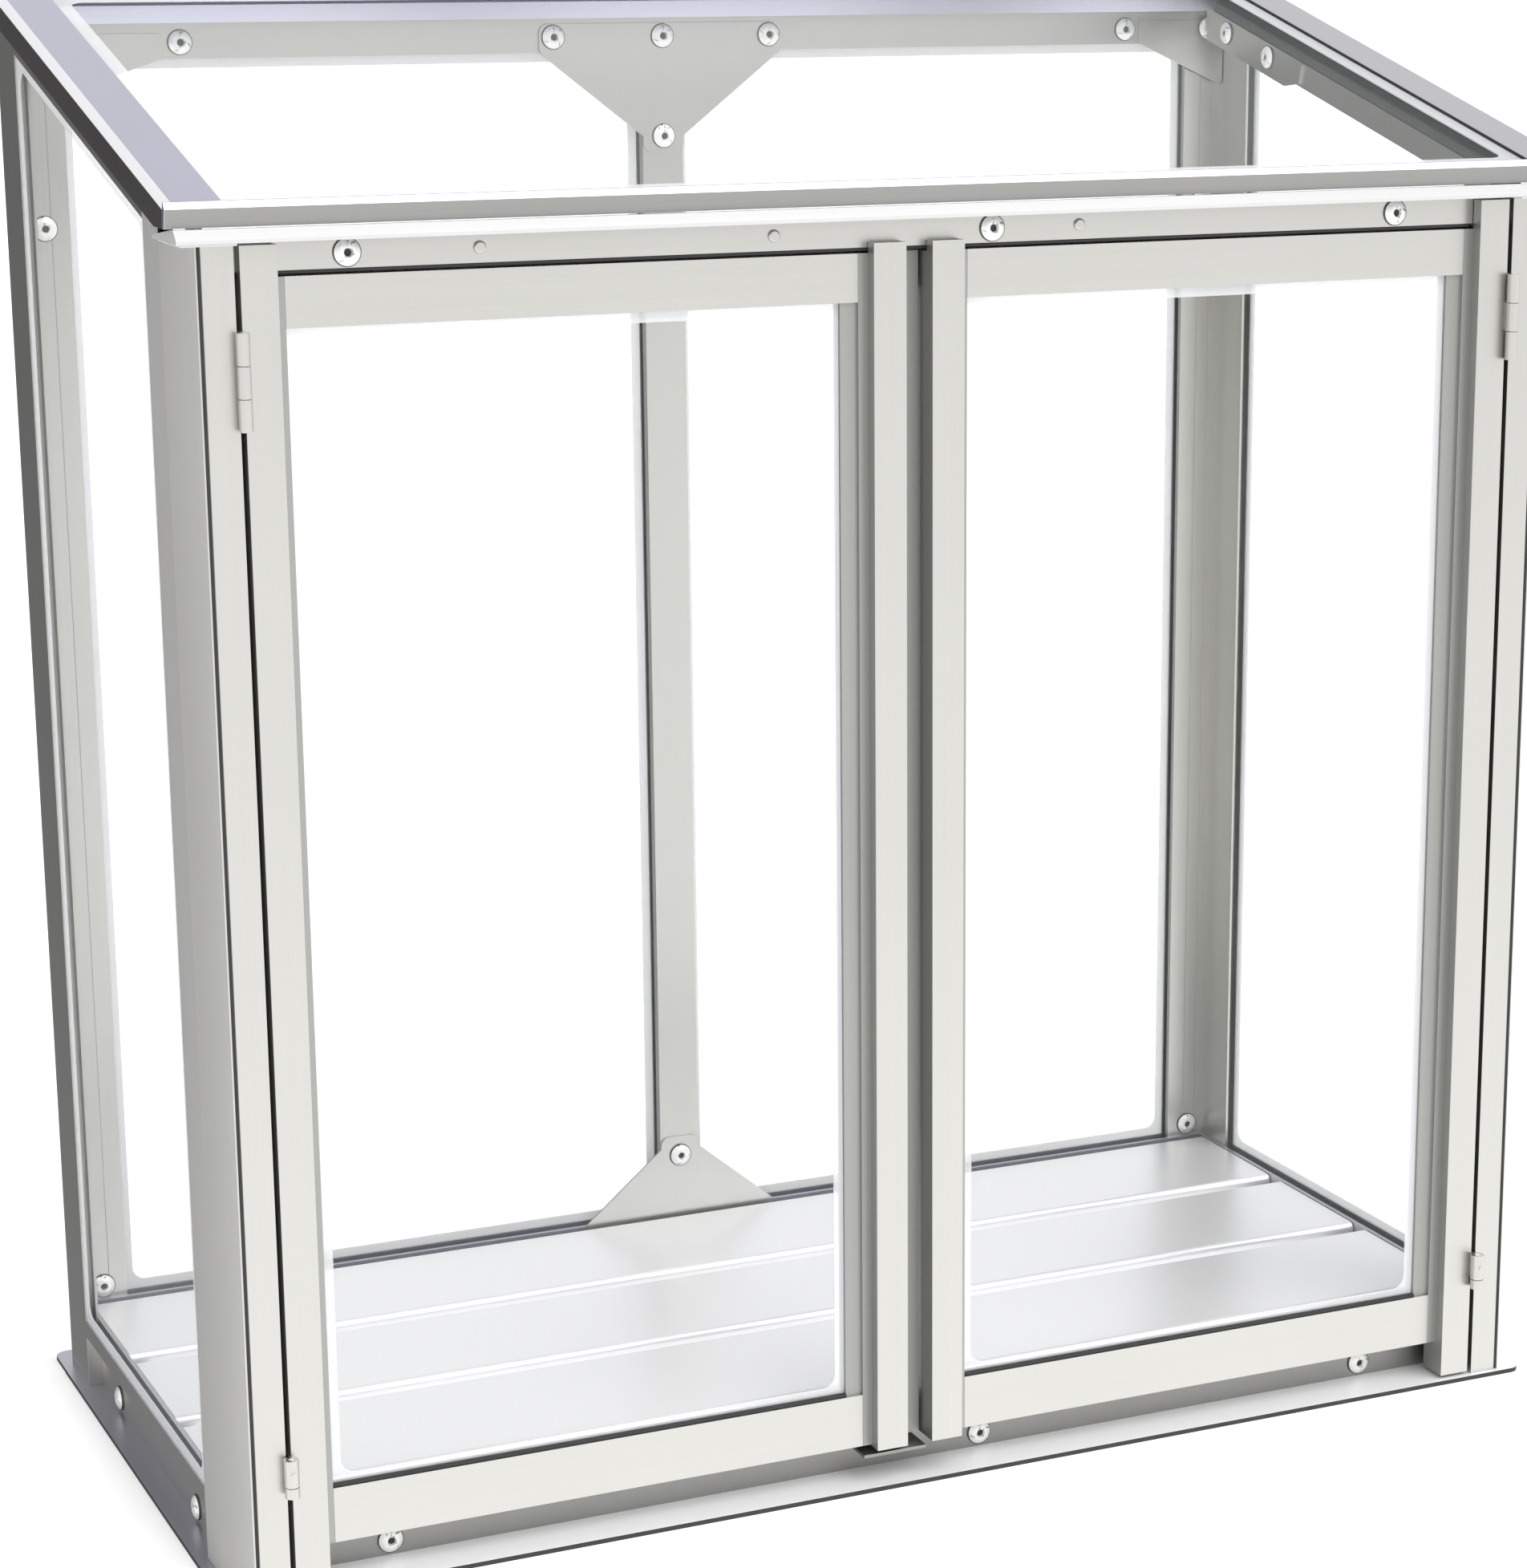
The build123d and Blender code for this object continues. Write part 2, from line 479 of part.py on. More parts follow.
def make_gussets():
    y0 = RAIL_PLANE - GUSSET
    half = CENTRE_BAR / 2
    rail = REAR_RAIL_LOW
    bolt_z = rail + REAR_BOLT_RISE
    top = [
        (-81, bolt_z + 8), (81, bolt_z + 8), (81, rail), (half, rail - 52), (half, rail - 62),
        (-half, rail - 62), (-half, rail - 52), (-81, rail),
    ]
    nodes["rear_top_gusset"] = plate(top, y0, 6.0, sharp=(3, 6))
    low = BASE_HEIGHT
    foot = [
        (-67, low - 9), (67, low - 9), (67, low + 1), (half, low + 46), (half, low + 54),
        (-half, low + 54), (-half, low + 46), (-67, low + 1),
    ]
    nodes["rear_foot_gusset"] = plate(foot, y0, 6.0, sharp=(0, 1, 2, 3, 6, 7))
    out = BASE_OUT - 0.5
    corners = []
    for width in REAR_CORNER_GUSSETS:
        start = BASE_OUT - width
        outline = [(start, rail + 15), (out, rail + 15), (out, rail - 28), (start, rail)]
        corners.append(plate(outline, y0, 3.0, sharp=(1,)))
    nodes["rear_corner_gussets"] = Compound([mirrored(corners[0]), corners[1]])
    u0 = LID_REAR_EDGE - 143
    u1 = LID_REAR_EDGE - 20
    n0 = SIDE_TOP - 2
    n1 = SIDE_TOP - SIDE_RAIL_DROP - 4.5
    section = [(u0, n0), (u1, n0), (u1, n1), (u0 + 17, n1), (u0, n1 + 6.5)]
    face = make_face(Polyline(*[(SIDE_RAIL_INNER - GUSSET, u, n) for u, n in section], close=True))
    side = ROOF * extrude(face, amount=GUSSET, dir=(1, 0, 0))
    nodes["side_corner_gussets"] = Compound([side, mirrored(side)])


# ---------------------------------------------------------------- fixed panes and their beads
def bead_face(face, width):
    """What is left of a face when its middle, with rounded corners, is taken out."""
    inner = offset(face, -width, kind=Kind.INTERSECTION)
    inner = fillet(inner.vertices(), BEAD_CORNER)
    return face - inner


def make_fixed_panes():
    y0 = POST_SIDE_DEPTH - GLASS_BITE
    y1 = FRAME_DEPTH - REAR_SIDE_LEG + GLASS_BITE
    low = BASE_SHELF + 2 + 1.5
    pane_drop = -SIDE_TOP + 3.5
    outline = [(y0, low), (y1, low), (y1, roof_z(y1, pane_drop)), (y0, roof_z(y0, pane_drop))]
    pane = along_x(outline, SIDE_PANE_OUT - GLASS, SIDE_PANE_OUT)
    nodes["side_panes"] = Compound([pane, mirrored(pane)])
    y0, y1 = POST_SIDE_DEPTH, FRAME_DEPTH - REAR_SIDE_LEG
    drop = -SIDE_TOP + 12
    seen = [(y0, BASE_HEIGHT), (y1, BASE_HEIGHT), (y1, roof_z(y1, drop)), (y0, roof_z(y0, drop))]
    flat = make_face(Polyline(*[(SIDE_PANE_OUT, y, z) for y, z in seen], close=True))
    side = extrude(bead_face(flat, BEAD_WIDTH), amount=BEAD_THICKNESS, dir=(1, 0, 0))

    x0 = CENTRE_BAR_CORE / 2 + 0.5
    x1 = HALF - REAR_LEG + GLASS_BITE
    top = REAR_RAIL_LOW + GLASS_BITE - 1
    pane = block(x0, x1, REAR_PANE_OUT - GLASS, REAR_PANE_OUT, low, top)
    nodes["rear_panes"] = Compound([pane, mirrored(pane)])
    x0, x1 = CENTRE_BAR / 2, HALF - REAR_LEG
    corners = [(x0, BASE_HEIGHT), (x1, BASE_HEIGHT), (x1, REAR_RAIL_LOW), (x0, REAR_RAIL_LOW)]
    flat = make_face(Polyline(*[(x, REAR_PANE_OUT, z) for x, z in corners], close=True))
    rear = extrude(bead_face(flat, BEAD_WIDTH), amount=BEAD_THICKNESS, dir=(0, 1, 0))
    nodes["fixed_pane_beads"] = Compound([side, mirrored(side), rear, mirrored(rear)])


# ---------------------------------------------------------------- doors
def tube(x0, x1, z0, z1):
    """The proud rib of a stile: a hollow section as deep as the door."""
    outer = block(x0, x1, 0, DOOR_THICKNESS, z0, z1)
    return outer - block(x0 + WALL, x1 - WALL, WALL, DOOR_THICKNESS - WALL, z0 - 1, z1 + 1)


def stile(x0, x1, towards, flange, bottom, top):
    """A rib from x0 to x1 with a glazing flange on the side given by `towards`."""
    root = x1 if towards > 0 else x0
    tip = root + towards * flange
    rib = tube(x0, x1, bottom, top)
    rib -= block(x0 - 1, x1 + 1, RIB_TOP_DEPTH, DOOR_THICKNESS + 1, DOOR_TOP, top + 1)
    front = block(root, tip, STILE_FLANGE_FACE, DOOR_LIP_FRONT, DOOR_BOTTOM, DOOR_TOP)
    back = block(root, tip, DOOR_LIP_BACK, DOOR_THICKNESS, DOOR_BOTTOM, DOOR_TOP)
    step = block(root, root + towards * STILE_STEP, EAVE_FACE, STILE_FLANGE_FACE, DOOR_BOTTOM, DOOR_TOP)
    return rib + front + back + step


def door_rail(x0, x1, flanges, z_open, z_far):
    """A rail between two stiles, notched for their flanges, with its glazing channel open at z_open."""
    out = 1 if z_far > z_open else -1
    chamber = z_open + out * (GLASS_BITE + 1.5)
    body = block(x0, x1, EAVE_FACE, DOOR_THICKNESS, z_open, z_far)
    body -= block(x0 - 1, x1 + 1, DOOR_LIP_FRONT, DOOR_LIP_BACK, z_open - out, chamber)
    body -= block(x0 - 1, x1 + 1, EAVE_FACE + WALL, DOOR_THICKNESS - WALL, chamber + out * WALL,
                  z_far - out * WALL)
    body -= block(x0 - 1, x0 + flanges[0], STILE_FLANGE_FACE, DOOR_THICKNESS + 1, 0, TALL)
    body -= block(x1 - flanges[1], x1 + 1, STILE_FLANGE_FACE, DOOR_THICKNESS + 1, 0, TALL)
    body -= block(x0 - 1, x0 + STILE_STEP, 0, DOOR_THICKNESS + 1, 0, TALL)
    body -= block(x1 - STILE_STEP, x1 + 1, 0, DOOR_THICKNESS + 1, 0, TALL)
    return body


def knuckle(z0, z1, side, radius, bore):
    """One barrel of a hinge with the neck that joins it to its leaf. `side` is +1 on the post."""
    barrel = rod(HINGE_X, -HINGE_STAND_OFF, z0, radius, z1 - z0, (0, 0, 1))
    x0, x1 = leaf_span(side)
    neck = block(x0, x1, -HINGE_STAND_OFF, 1.0, z0, z1)
    return barrel + neck - rod(HINGE_X, -HINGE_STAND_OFF, z0 - 1, bore, z1 - z0 + 2, (0, 0, 1))


def leaf_span(side):
    return (JAMB - LEAF, JAMB) if side > 0 else (HINGE_STILE_OUT, HINGE_STILE_OUT + LEAF)


def leaf(z0, z1, side):
    x0, x1 = leaf_span(side)
    return block(x0, x1, 0.5, LEAF_DEPTH, z0, z1)


def make_upper_hinge():
    """A butt hinge of three barrels: the post's leaf, the door's leaf and the pin."""
    z0 = UPPER_HINGE_LOW
    z1 = z0 + HINGE_LENGTH
    third = HINGE_LENGTH / 3
    low = knuckle(z0, z0 + third - KNUCKLE_GAP / 2, 1, KNUCKLE_RADIUS, PIN_RADIUS)
    high = knuckle(z0 + 2 * third + KNUCKLE_GAP / 2, z1, 1, KNUCKLE_RADIUS, PIN_RADIUS)
    middle = knuckle(z0 + third + KNUCKLE_GAP / 2, z0 + 2 * third - KNUCKLE_GAP / 2, -1,
                     KNUCKLE_RADIUS, PIN_RADIUS + PIN_CLEARANCE)
    pin = rod(HINGE_X, -HINGE_STAND_OFF, z0, PIN_RADIUS, HINGE_LENGTH, (0, 0, 1))
    return leaf(z0, z1, 1) + low + high, leaf(z0, z1, -1) + middle, pin


def make_lower_hinge():
    """A pintle: a door barrel with a stud on its front turns on a short barrel fixed to the post."""
    foot = LOWER_HINGE + PINTLE_FOOT
    fixed = knuckle(LOWER_HINGE, foot, 1, PINTLE_RADIUS, PIN_RADIUS) + leaf(LOWER_HINGE, foot, 1)
    start = foot + KNUCKLE_GAP
    moving = knuckle(start, PINTLE_TOP, -1, PINTLE_RADIUS, PIN_RADIUS + PIN_CLEARANCE)
    moving += leaf(start, PINTLE_TOP, -1)
    front = -HINGE_STAND_OFF - PINTLE_RADIUS
    moving += rod(HINGE_X, front + 1.0, PINTLE_TOP - 8, PINTLE_STUD, 1.4, (0, -1, 0))
    pin = rod(HINGE_X, -HINGE_STAND_OFF, LOWER_HINGE, PIN_RADIUS, PINTLE_TOP - LOWER_HINGE, (0, 0, 1))
    return fixed, moving, pin


def make_hinges(side_name, place):
    """Both hinges of one door: returns the leaves fixed to the post and the pins."""
    hinges = (make_lower_hinge(), make_upper_hinge())
    fixed = [place(hinge[0]) for hinge in hinges]
    nodes[side_name + "_door_hinge_leaves"] = Compound([place(hinge[1]) for hinge in hinges])
    return fixed, [place(hinge[2]) for hinge in hinges]


def make_door(side_name, rib_in, place):
    """One door, built on the right-hand side with `rib_in` as its meeting rib's inner edge."""
    rib_out = rib_in + RIB_WIDTH
    flanges = (NARROW_FLANGE, WIDE_FLANGE) if side_name == "right" else (WIDE_FLANGE, NARROW_FLANGE)
    bites = [min(GLASS_BITE, flange - 1) for flange in flanges]
    opening_in = rib_out + flanges[0]
    opening_out = HINGE_STILE_IN - flanges[1]
    hinge_stile = stile(HINGE_STILE_IN, HINGE_STILE_OUT, -1, flanges[1], HINGE_RIB_BOTTOM, HINGE_RIB_TOP)
    meeting = stile(rib_in, rib_out, 1, flanges[0], MEETING_RIB_BOTTOM, RIB_TOP)
    if side_name == "left":
        meeting += block(-MEETING_OVERLAP_TIP, rib_in, 15.5, 15.5 + WALL, DOOR_BOTTOM, DOOR_TOP)
    opening_low = DOOR_BOTTOM + DOOR_BOTTOM_RAIL
    opening_high = DOOR_TOP - DOOR_TOP_RAIL
    low_rail = door_rail(rib_out, HINGE_STILE_IN, flanges, opening_low, DOOR_BOTTOM)
    top_rail = door_rail(rib_out, HINGE_STILE_IN, flanges, opening_high, DOOR_TOP)
    pane = block(opening_in - bites[0], opening_out + bites[1], DOOR_PANE_FRONT,
                 DOOR_PANE_FRONT + GLASS, opening_low - GLASS_BITE, opening_high + GLASS_BITE)
    corners = [(opening_in, opening_low), (opening_out, opening_low),
               (opening_out, opening_high), (opening_in, opening_high)]
    flat = make_face(Polyline(*[(x, DOOR_PANE_FRONT, z) for x, z in corners], close=True))
    bead = extrude(bead_face(flat, BEAD_WIDTH), amount=BEAD_THICKNESS, dir=(0, -1, 0))
    strike = block(STRIKE_X - 12, STRIKE_X + 12, DOOR_THICKNESS, DOOR_THICKNESS + 0.6, DOOR_TOP - 9,
                   DOOR_TOP - 1)
    gasket = block(opening_in, opening_out, EAVE_FACE + 0.6, DOOR_PANE_FRONT - BEAD_THICKNESS,
                   opening_low, opening_low + GASKET_HEIGHT)
    pieces = {
        "hinge_stile": hinge_stile,
        "meeting_stile": meeting,
        "bottom_rail": low_rail,
        "top_rail": top_rail,
        "pane": pane,
        "glazing_bead": bead,
        "gasket": gasket,
        "strike_plate": strike,
    }
    for name, shape in pieces.items():
        nodes[side_name + "_door_" + name] = place(shape)
    return make_hinges(side_name, place)


def unchanged(shape):
    return shape


# ---------------------------------------------------------------- strips and catches round the doors
def make_strips():
    front = DOOR_THICKNESS + 0.5
    top = block(-JAMB + 6, JAMB - 6, front, EAVE_BACK - 2, EAVE_STOP_LOW, EAVE_STOP_LOW + 7)
    side = block(JAMB - 6, JAMB, front, front + 4, BASE_HEIGHT + 3, EAVE_STOP_LOW)
    over = block(-JAMB + 24, JAMB - 24, EAVE_FACE + 0.8, DOOR_THICKNESS, EAVE_LOW - 2, EAVE_LOW)
    nodes["door_weather_strips"] = Compound([top, over, side, mirrored(side)])
    catch = block(STRIKE_X - 12, STRIKE_X + 12, DOOR_THICKNESS + 0.9, EAVE_BACK - 2,
                  DOOR_TOP - 9, DOOR_TOP - 1)
    nodes["magnetic_catches"] = Compound([catch, mirrored(catch)])


# ---------------------------------------------------------------- lid
def lid_cut(shape):
    """Clear the lid's underside of the eave rail's lip."""
    return shape - block(-LID_HALF - 1, LID_HALF + 1, -50, EAVE_BACK_SHELF, 0, EAVE_LIP_TOP + LID_GAP)


def make_lid():
    edge = LID_FRONT_EDGE
    wall_in = edge + 4.0
    pane_low = LID_PANE_DROP + GLASS + GLASS_CLEARANCE
    pane_high = LID_PANE_DROP - GLASS_CLEARANCE
    inside = LID_HALF - LID_SIDE_RAIL
    thick = LID_FRONT_THICKNESS
    front_wall = [(edge, -thick), (edge, -3), (edge + 3, 0), (wall_in, 0), (wall_in, -thick)]
    shelf = block(-inside, inside, wall_in, edge + LID_FRONT_RAIL, -thick, -pane_low)
    shelf -= block(-inside, inside, wall_in + WALL, edge + LID_FRONT_RAIL - WALL, -thick + WALL,
                   -pane_low - WALL)
    nodes["lid_front_rail"] = lid_cut(ROOF * (along_x(front_wall, -LID_HALF, LID_HALF) + shelf))

    rear = LID_REAR_EDGE
    bevel = LID_BEVEL
    section = [(inside, -LID_THICKNESS), (LID_HALF, -LID_THICKNESS), (LID_HALF, -bevel),
               (LID_HALF - bevel, 0), (inside, 0)]
    side = along_y(section, wall_in, rear)
    side -= block(inside - 1, inside + GLASS_BITE + 1, wall_in - 1, rear + 1, -pane_low, -pane_high)
    side -= block(inside + GLASS_BITE + 3, LID_HALF - WALL, wall_in - 1, rear + 1,
                  -LID_THICKNESS + WALL, -bevel - WALL)
    pieces = lid_cut(ROOF * side)
    nodes["lid_right_rail"] = pieces
    nodes["lid_left_rail"] = mirrored(pieces)

    front_of_rear = rear - LID_REAR_RAIL
    bar = block(-inside, inside, front_of_rear, rear, -LID_THICKNESS, 0)
    bar -= block(-inside, inside, front_of_rear - 1, front_of_rear + GLASS_BITE + 1, -pane_low, -pane_high)
    bar -= block(-inside, inside, front_of_rear + GLASS_BITE + 3, rear - WALL, -LID_THICKNESS + WALL, -WALL)
    bead = rod(-LID_HALF, LID_PIVOT_Y, LID_PIVOT_Z, LID_HINGE_RADIUS, 2 * LID_HALF, (1, 0, 0))
    angle = math.radians(LID_NECK_ANGLE)
    reach = (LID_PIVOT_Y - rear * SLOPE_COS) / -math.cos(angle)
    across = (-math.sin(angle) * LID_NECK / 2, math.cos(angle) * LID_NECK / 2)
    tip = (LID_PIVOT_Y + reach * math.cos(angle), LID_PIVOT_Z + reach * math.sin(angle))
    neck = [(LID_PIVOT_Y + across[0], LID_PIVOT_Z + across[1]),
            (LID_PIVOT_Y - across[0], LID_PIVOT_Z - across[1]),
            (tip[0] - across[0], tip[1] - across[1]), (tip[0] + across[0], tip[1] + across[1])]
    neck = along_x(neck, -LID_HALF, LID_HALF) - ROOF * block(-LID_HALF, -inside, 0, rear, -99, 99)
    neck -= ROOF * block(inside, LID_HALF, 0, rear, -99, 99)
    nodes["lid_rear_rail"] = ROOF * bar + neck + bead

    pane = block(-inside - GLASS_BITE, inside + GLASS_BITE, wall_in + 0.5, front_of_rear + GLASS_BITE,
                 -LID_PANE_DROP - GLASS, -LID_PANE_DROP)
    nodes["lid_pane"] = ROOF * pane
    outline = make_face(Polyline((-inside, wall_in, -LID_PANE_DROP), (inside, wall_in, -LID_PANE_DROP),
                                 (inside, front_of_rear, -LID_PANE_DROP),
                                 (-inside, front_of_rear, -LID_PANE_DROP), close=True))
    nodes["lid_glazing_bead"] = ROOF * extrude(bead_face(outline, LID_BEAD_WIDTH), amount=BEAD_THICKNESS,
                                               dir=(0, 0, 1))
    strip = block(inside - 2.5, inside, edge + LID_FRONT_RAIL, front_of_rear, -LID_THICKNESS + 0.1, -12.5)
    left_strip = mirrored(strip - block(0, LID_HALF, STAY_U - 9, STAY_U + 9, -99, 0))
    nodes["lid_gaskets"] = Compound([ROOF * strip] + [ROOF * solid for solid in left_strip.solids()])


def make_stay():
    """Flat bar with three notch holes, folded back along the left lid rail."""
    x1 = STAY_X
    x0 = STAY_X - STAY_THICKNESS
    far = STAY_U + STAY_LENGTH - STAY_WIDTH
    half = STAY_WIDTH / 2
    bar = block(x0, x1, STAY_U, far, -STAY_DROP - half, -STAY_DROP + half)
    for u in (STAY_U, far):
        bar += rod(x0, u, -STAY_DROP, half, STAY_THICKNESS, (1, 0, 0))
    for u in (far, far - 40, far - 80):
        bar -= rod(x0 - 1, u, -STAY_DROP, STAY_PIN_RADIUS + 0.5, STAY_THICKNESS + 2, (1, 0, 0))
    bar -= rod(x0 - 1, STAY_U, -STAY_DROP, STAY_PIN_RADIUS + PIN_CLEARANCE, STAY_THICKNESS + 2, (1, 0, 0))
    nodes["lid_stay"] = ROOF * mirrored(bar)
    pin = rod(x0 - 0.5, STAY_U, -STAY_DROP, STAY_PIN_RADIUS, STAY_THICKNESS + 1.0, (1, 0, 0))
    head = rod(x0 - 2.0, STAY_U, -STAY_DROP, STAY_PIN_RADIUS + 2, 1.5, (1, 0, 0))
    inside = LID_HALF - LID_SIDE_RAIL
    pane_low = LID_PANE_DROP + GLASS + GLASS_CLEARANCE
    bracket = block(STAY_X + 0.5, inside, STAY_U - 9, STAY_U + 9, -LID_THICKNESS + 0.1, -pane_low)
    nodes["stay_bracket"] = ROOF * mirrored(bracket + pin + head)
    peg = rod(x0 - 3, 52, SIDE_TOP - SIDE_RAIL_DROP / 2, STAY_PIN_RADIUS, SIDE_RAIL_INNER - x0 + 3, (1, 0, 0))
    nodes["stay_peg"] = ROOF * mirrored(peg)


# ---------------------------------------------------------------- fasteners
def dome(point, axis):
    """Flanged round head of a bolt, standing out against `axis`, with a shallow recess."""
    back = tuple(-a for a in axis)
    head = rod(*point, BOLT_HEAD_RADIUS, 1.2, back)
    tip = tuple(p + b * 1.2 for p, b in zip(point, back))
    cap = rod(*tip, BOLT_HEAD_RADIUS - 2.4, BOLT_HEAD - 1.2, back)
    end = tuple(p + b * BOLT_HEAD for p, b in zip(point, back))
    recess = rod(*end, 2.6, 1.2, axis)
    return head + cap - recess


def bolt(point, axis, grip):
    """A bolt whose head seats at `point` and whose shank runs along `axis`, and its nut."""
    shank = rod(*point, BOLT_RADIUS, grip + NUT_THICKNESS, axis)
    seat = tuple(p + a * grip for p, a in zip(point, axis))
    hexagon = extrude(Plane(origin=seat, z_dir=axis) * RegularPolygon(NUT_FLATS / 2, 6, major_radius=False),
                      amount=NUT_THICKNESS, dir=axis)
    nut = hexagon - rod(*seat, BOLT_RADIUS, NUT_THICKNESS, axis)
    start = tuple(p - a * 0.5 for p, a in zip(point, axis))
    holes.append(rod(*start, BOLT_RADIUS + BOLT_HOLE_CLEARANCE, grip + 1.0, axis))
    return dome(point, axis) + shank, nut


def both_sides(shapes):
    """The right-hand shapes and the same on the left."""
    return shapes + [mirrored(s) for s in shapes]


def make_fasteners():
    front_y = FRONT_WALL_SETBACK
    gusset_y = RAIL_PLANE - GUSSET
    rail_z = REAR_RAIL_LOW + REAR_BOLT_RISE
    left, middle, right = BASE_BOLTS
    groups = {
        "base": [((x, front_y, 12), (0, 1, 0), 2.5) for x in (left - JAMB, middle, JAMB - right)],
    }
    left, middle, right = EAVE_BOLTS
    eave_z = EAVE_LOW + 8
    groups["eave"] = [((x, EAVE_FACE, eave_z), (0, 1, 0), 2.0) for x in (left - JAMB, middle, JAMB - right)]
    leg = HALF - REAR_LEG
    left, right = REAR_BOLTS
    groups["rear"] = [((x, RAIL_PLANE, rail_z), (0, 1, 0), 2.5) for x in (left - leg, leg - right)]
    groups["gussets"] = [((x, gusset_y, rail_z), (0, 1, 0), 4.0) for x in (-72, 0, 72)]
    groups["bar"] = [((0, gusset_y, z), (0, 1, 0), 3.5) for z in (REAR_RAIL_LOW - 52, BASE_HEIGHT + 41)]
    bolts, nuts = [], []
    for places in groups.values():
        for place in places:
            b, n = bolt(*place)
            bolts.append(b)
            nuts.append(n)

    corner, corner_nuts = [], []
    post_x = BASE_OUT - 12
    low_y = POST_SIDE_DEPTH + SIDE_BOLTS[0]
    high_y = FRAME_DEPTH - REAR_SIDE_LEG - SIDE_BOLTS[1]
    right = [
        ((post_x, REAR_IN, BASE_HEIGHT + 8.2), (0, 1, 0), WALL),
        ((post_x, REAR_IN, REAR_RAIL_LOW - 97), (0, 1, 0), WALL),
        ((post_x, gusset_y, rail_z), (0, 1, 0), REAR_IN + WALL - gusset_y),
        ((BASE_OUT, low_y, 12), (-1, 0, 0), 2.5),
        ((BASE_OUT, high_y, 12), (-1, 0, 0), 2.5),
    ]
    for place in right:
        b, n = bolt(*place)
        corner.append(b)
        corner_nuts.append(n)
        holes.append(mirrored(holes[-1]))
    for before in SIDE_RAIL_BOLTS:
        u = (RAIL_PLANE - before - (-SIDE_TOP + 8) * SLOPE_SIN) / SLOPE_COS
        first = len(holes)
        b, n = bolt((SIDE_RAIL_INNER - GUSSET, u, SIDE_TOP - 9.3), (1, 0, 0), GUSSET + 2)
        corner.append(ROOF * b)
        corner_nuts.append(ROOF * n)
        holes[first] = ROOF * holes[first]
        holes.append(mirrored(holes[first]))
    nodes["frame_bolts"] = Compound(bolts + both_sides(corner))
    nodes["frame_nuts"] = Compound(nuts + both_sides(corner_nuts))

    rivets = []
    for x in EAVE_RIVETS:
        head = rod(x, EAVE_FACE, eave_z, RIVET_HEAD_RADIUS, RIVET_HEAD, (0, -1, 0))
        head = fillet(head.edges().group_by(Axis.Y)[0], 1.2)
        rivets.append(head + rod(x, EAVE_FACE, eave_z, RIVET_RADIUS, 3.0, (0, 1, 0)))
        holes.append(rod(x, EAVE_FACE - 0.5, eave_z, RIVET_RADIUS, 3.5, (0, 1, 0)))
    nodes["eave_rivets"] = Compound(rivets)


DRILLED = (
    "front_base_rail", "rear_base_rail", "left_base_rail", "right_base_rail", "eave_rail", "rear_top_rail",
    "left_rear_post", "right_rear_post", "rear_centre_bar", "rear_top_gusset", "rear_foot_gusset",
    "rear_corner_gussets", "side_corner_gussets", "left_side_top_rail", "right_side_top_rail",
)


def drill():
    """Clearance holes for the bolts, in each rail and gusset that a bolt passes through."""
    for name in DRILLED:
        solids = []
        for solid in nodes[name].solids():
            box = solid.bounding_box()
            for hole in holes:
                other = hole.bounding_box()
                lows = zip(box.min, other.max)
                highs = zip(other.min, box.max)
                if all(a < b for a, b in lows) and all(a < b for a, b in highs):
                    solid = solid - hole
            solids += solid.solids()
        nodes[name] = solids[0] if len(solids) == 1 else Compound(solids)


def write_parts():
    """Move every node so that the origin is under the middle of the footprint, and write it."""
    for name, shape in nodes.items():
        solids = [Pos(0, -ORIGIN_Y, 0) * solid for solid in shape.solids()]
        export_step(solids[0] if len(solids) == 1 else Compound(solids), f"parts/{name}.step")
    print(len(nodes), "nodes, origin at", round(ORIGIN_Y, 3), "behind the posts' front face")


make_base()
make_keeper()
make_floor()
make_front_posts()
make_rear_posts()
make_eave_rail()
make_rear_top_rail()
make_side_top_rails()
make_centre_bar()
make_gussets()
make_fixed_panes()
right_leaves, right_pins = make_door("right", RIGHT_MEETING_RIB, unchanged)
left_leaves, left_pins = make_door("left", -LEFT_MEETING_RIB, mirrored)
nodes["hinge_post_leaves"] = Compound(right_leaves + left_leaves)
nodes["hinge_pins"] = Compound(right_pins + left_pins)
make_strips()
make_lid()
make_stay()
make_fasteners()
drill()
write_parts()
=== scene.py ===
# %% [markdown]
# # A cold frame with drawn aluminium sections, clear panes and a sloping lid
#
# A cold frame is a small greenhouse for a bench or a balcony. This one is put together from long
# aluminium sections, and each section was pushed through a steel die, so it is straight, thin-walled and
# finely lined along its length. The lesson starts from the measured model, eases the sharp edges that no
# real section has, makes the screw heads by hand, and then spends most of its care on how metal, glass
# and rubber look.

# %% Load the measured model
import bpy
import json
import math
from mathutils import Matrix, Vector


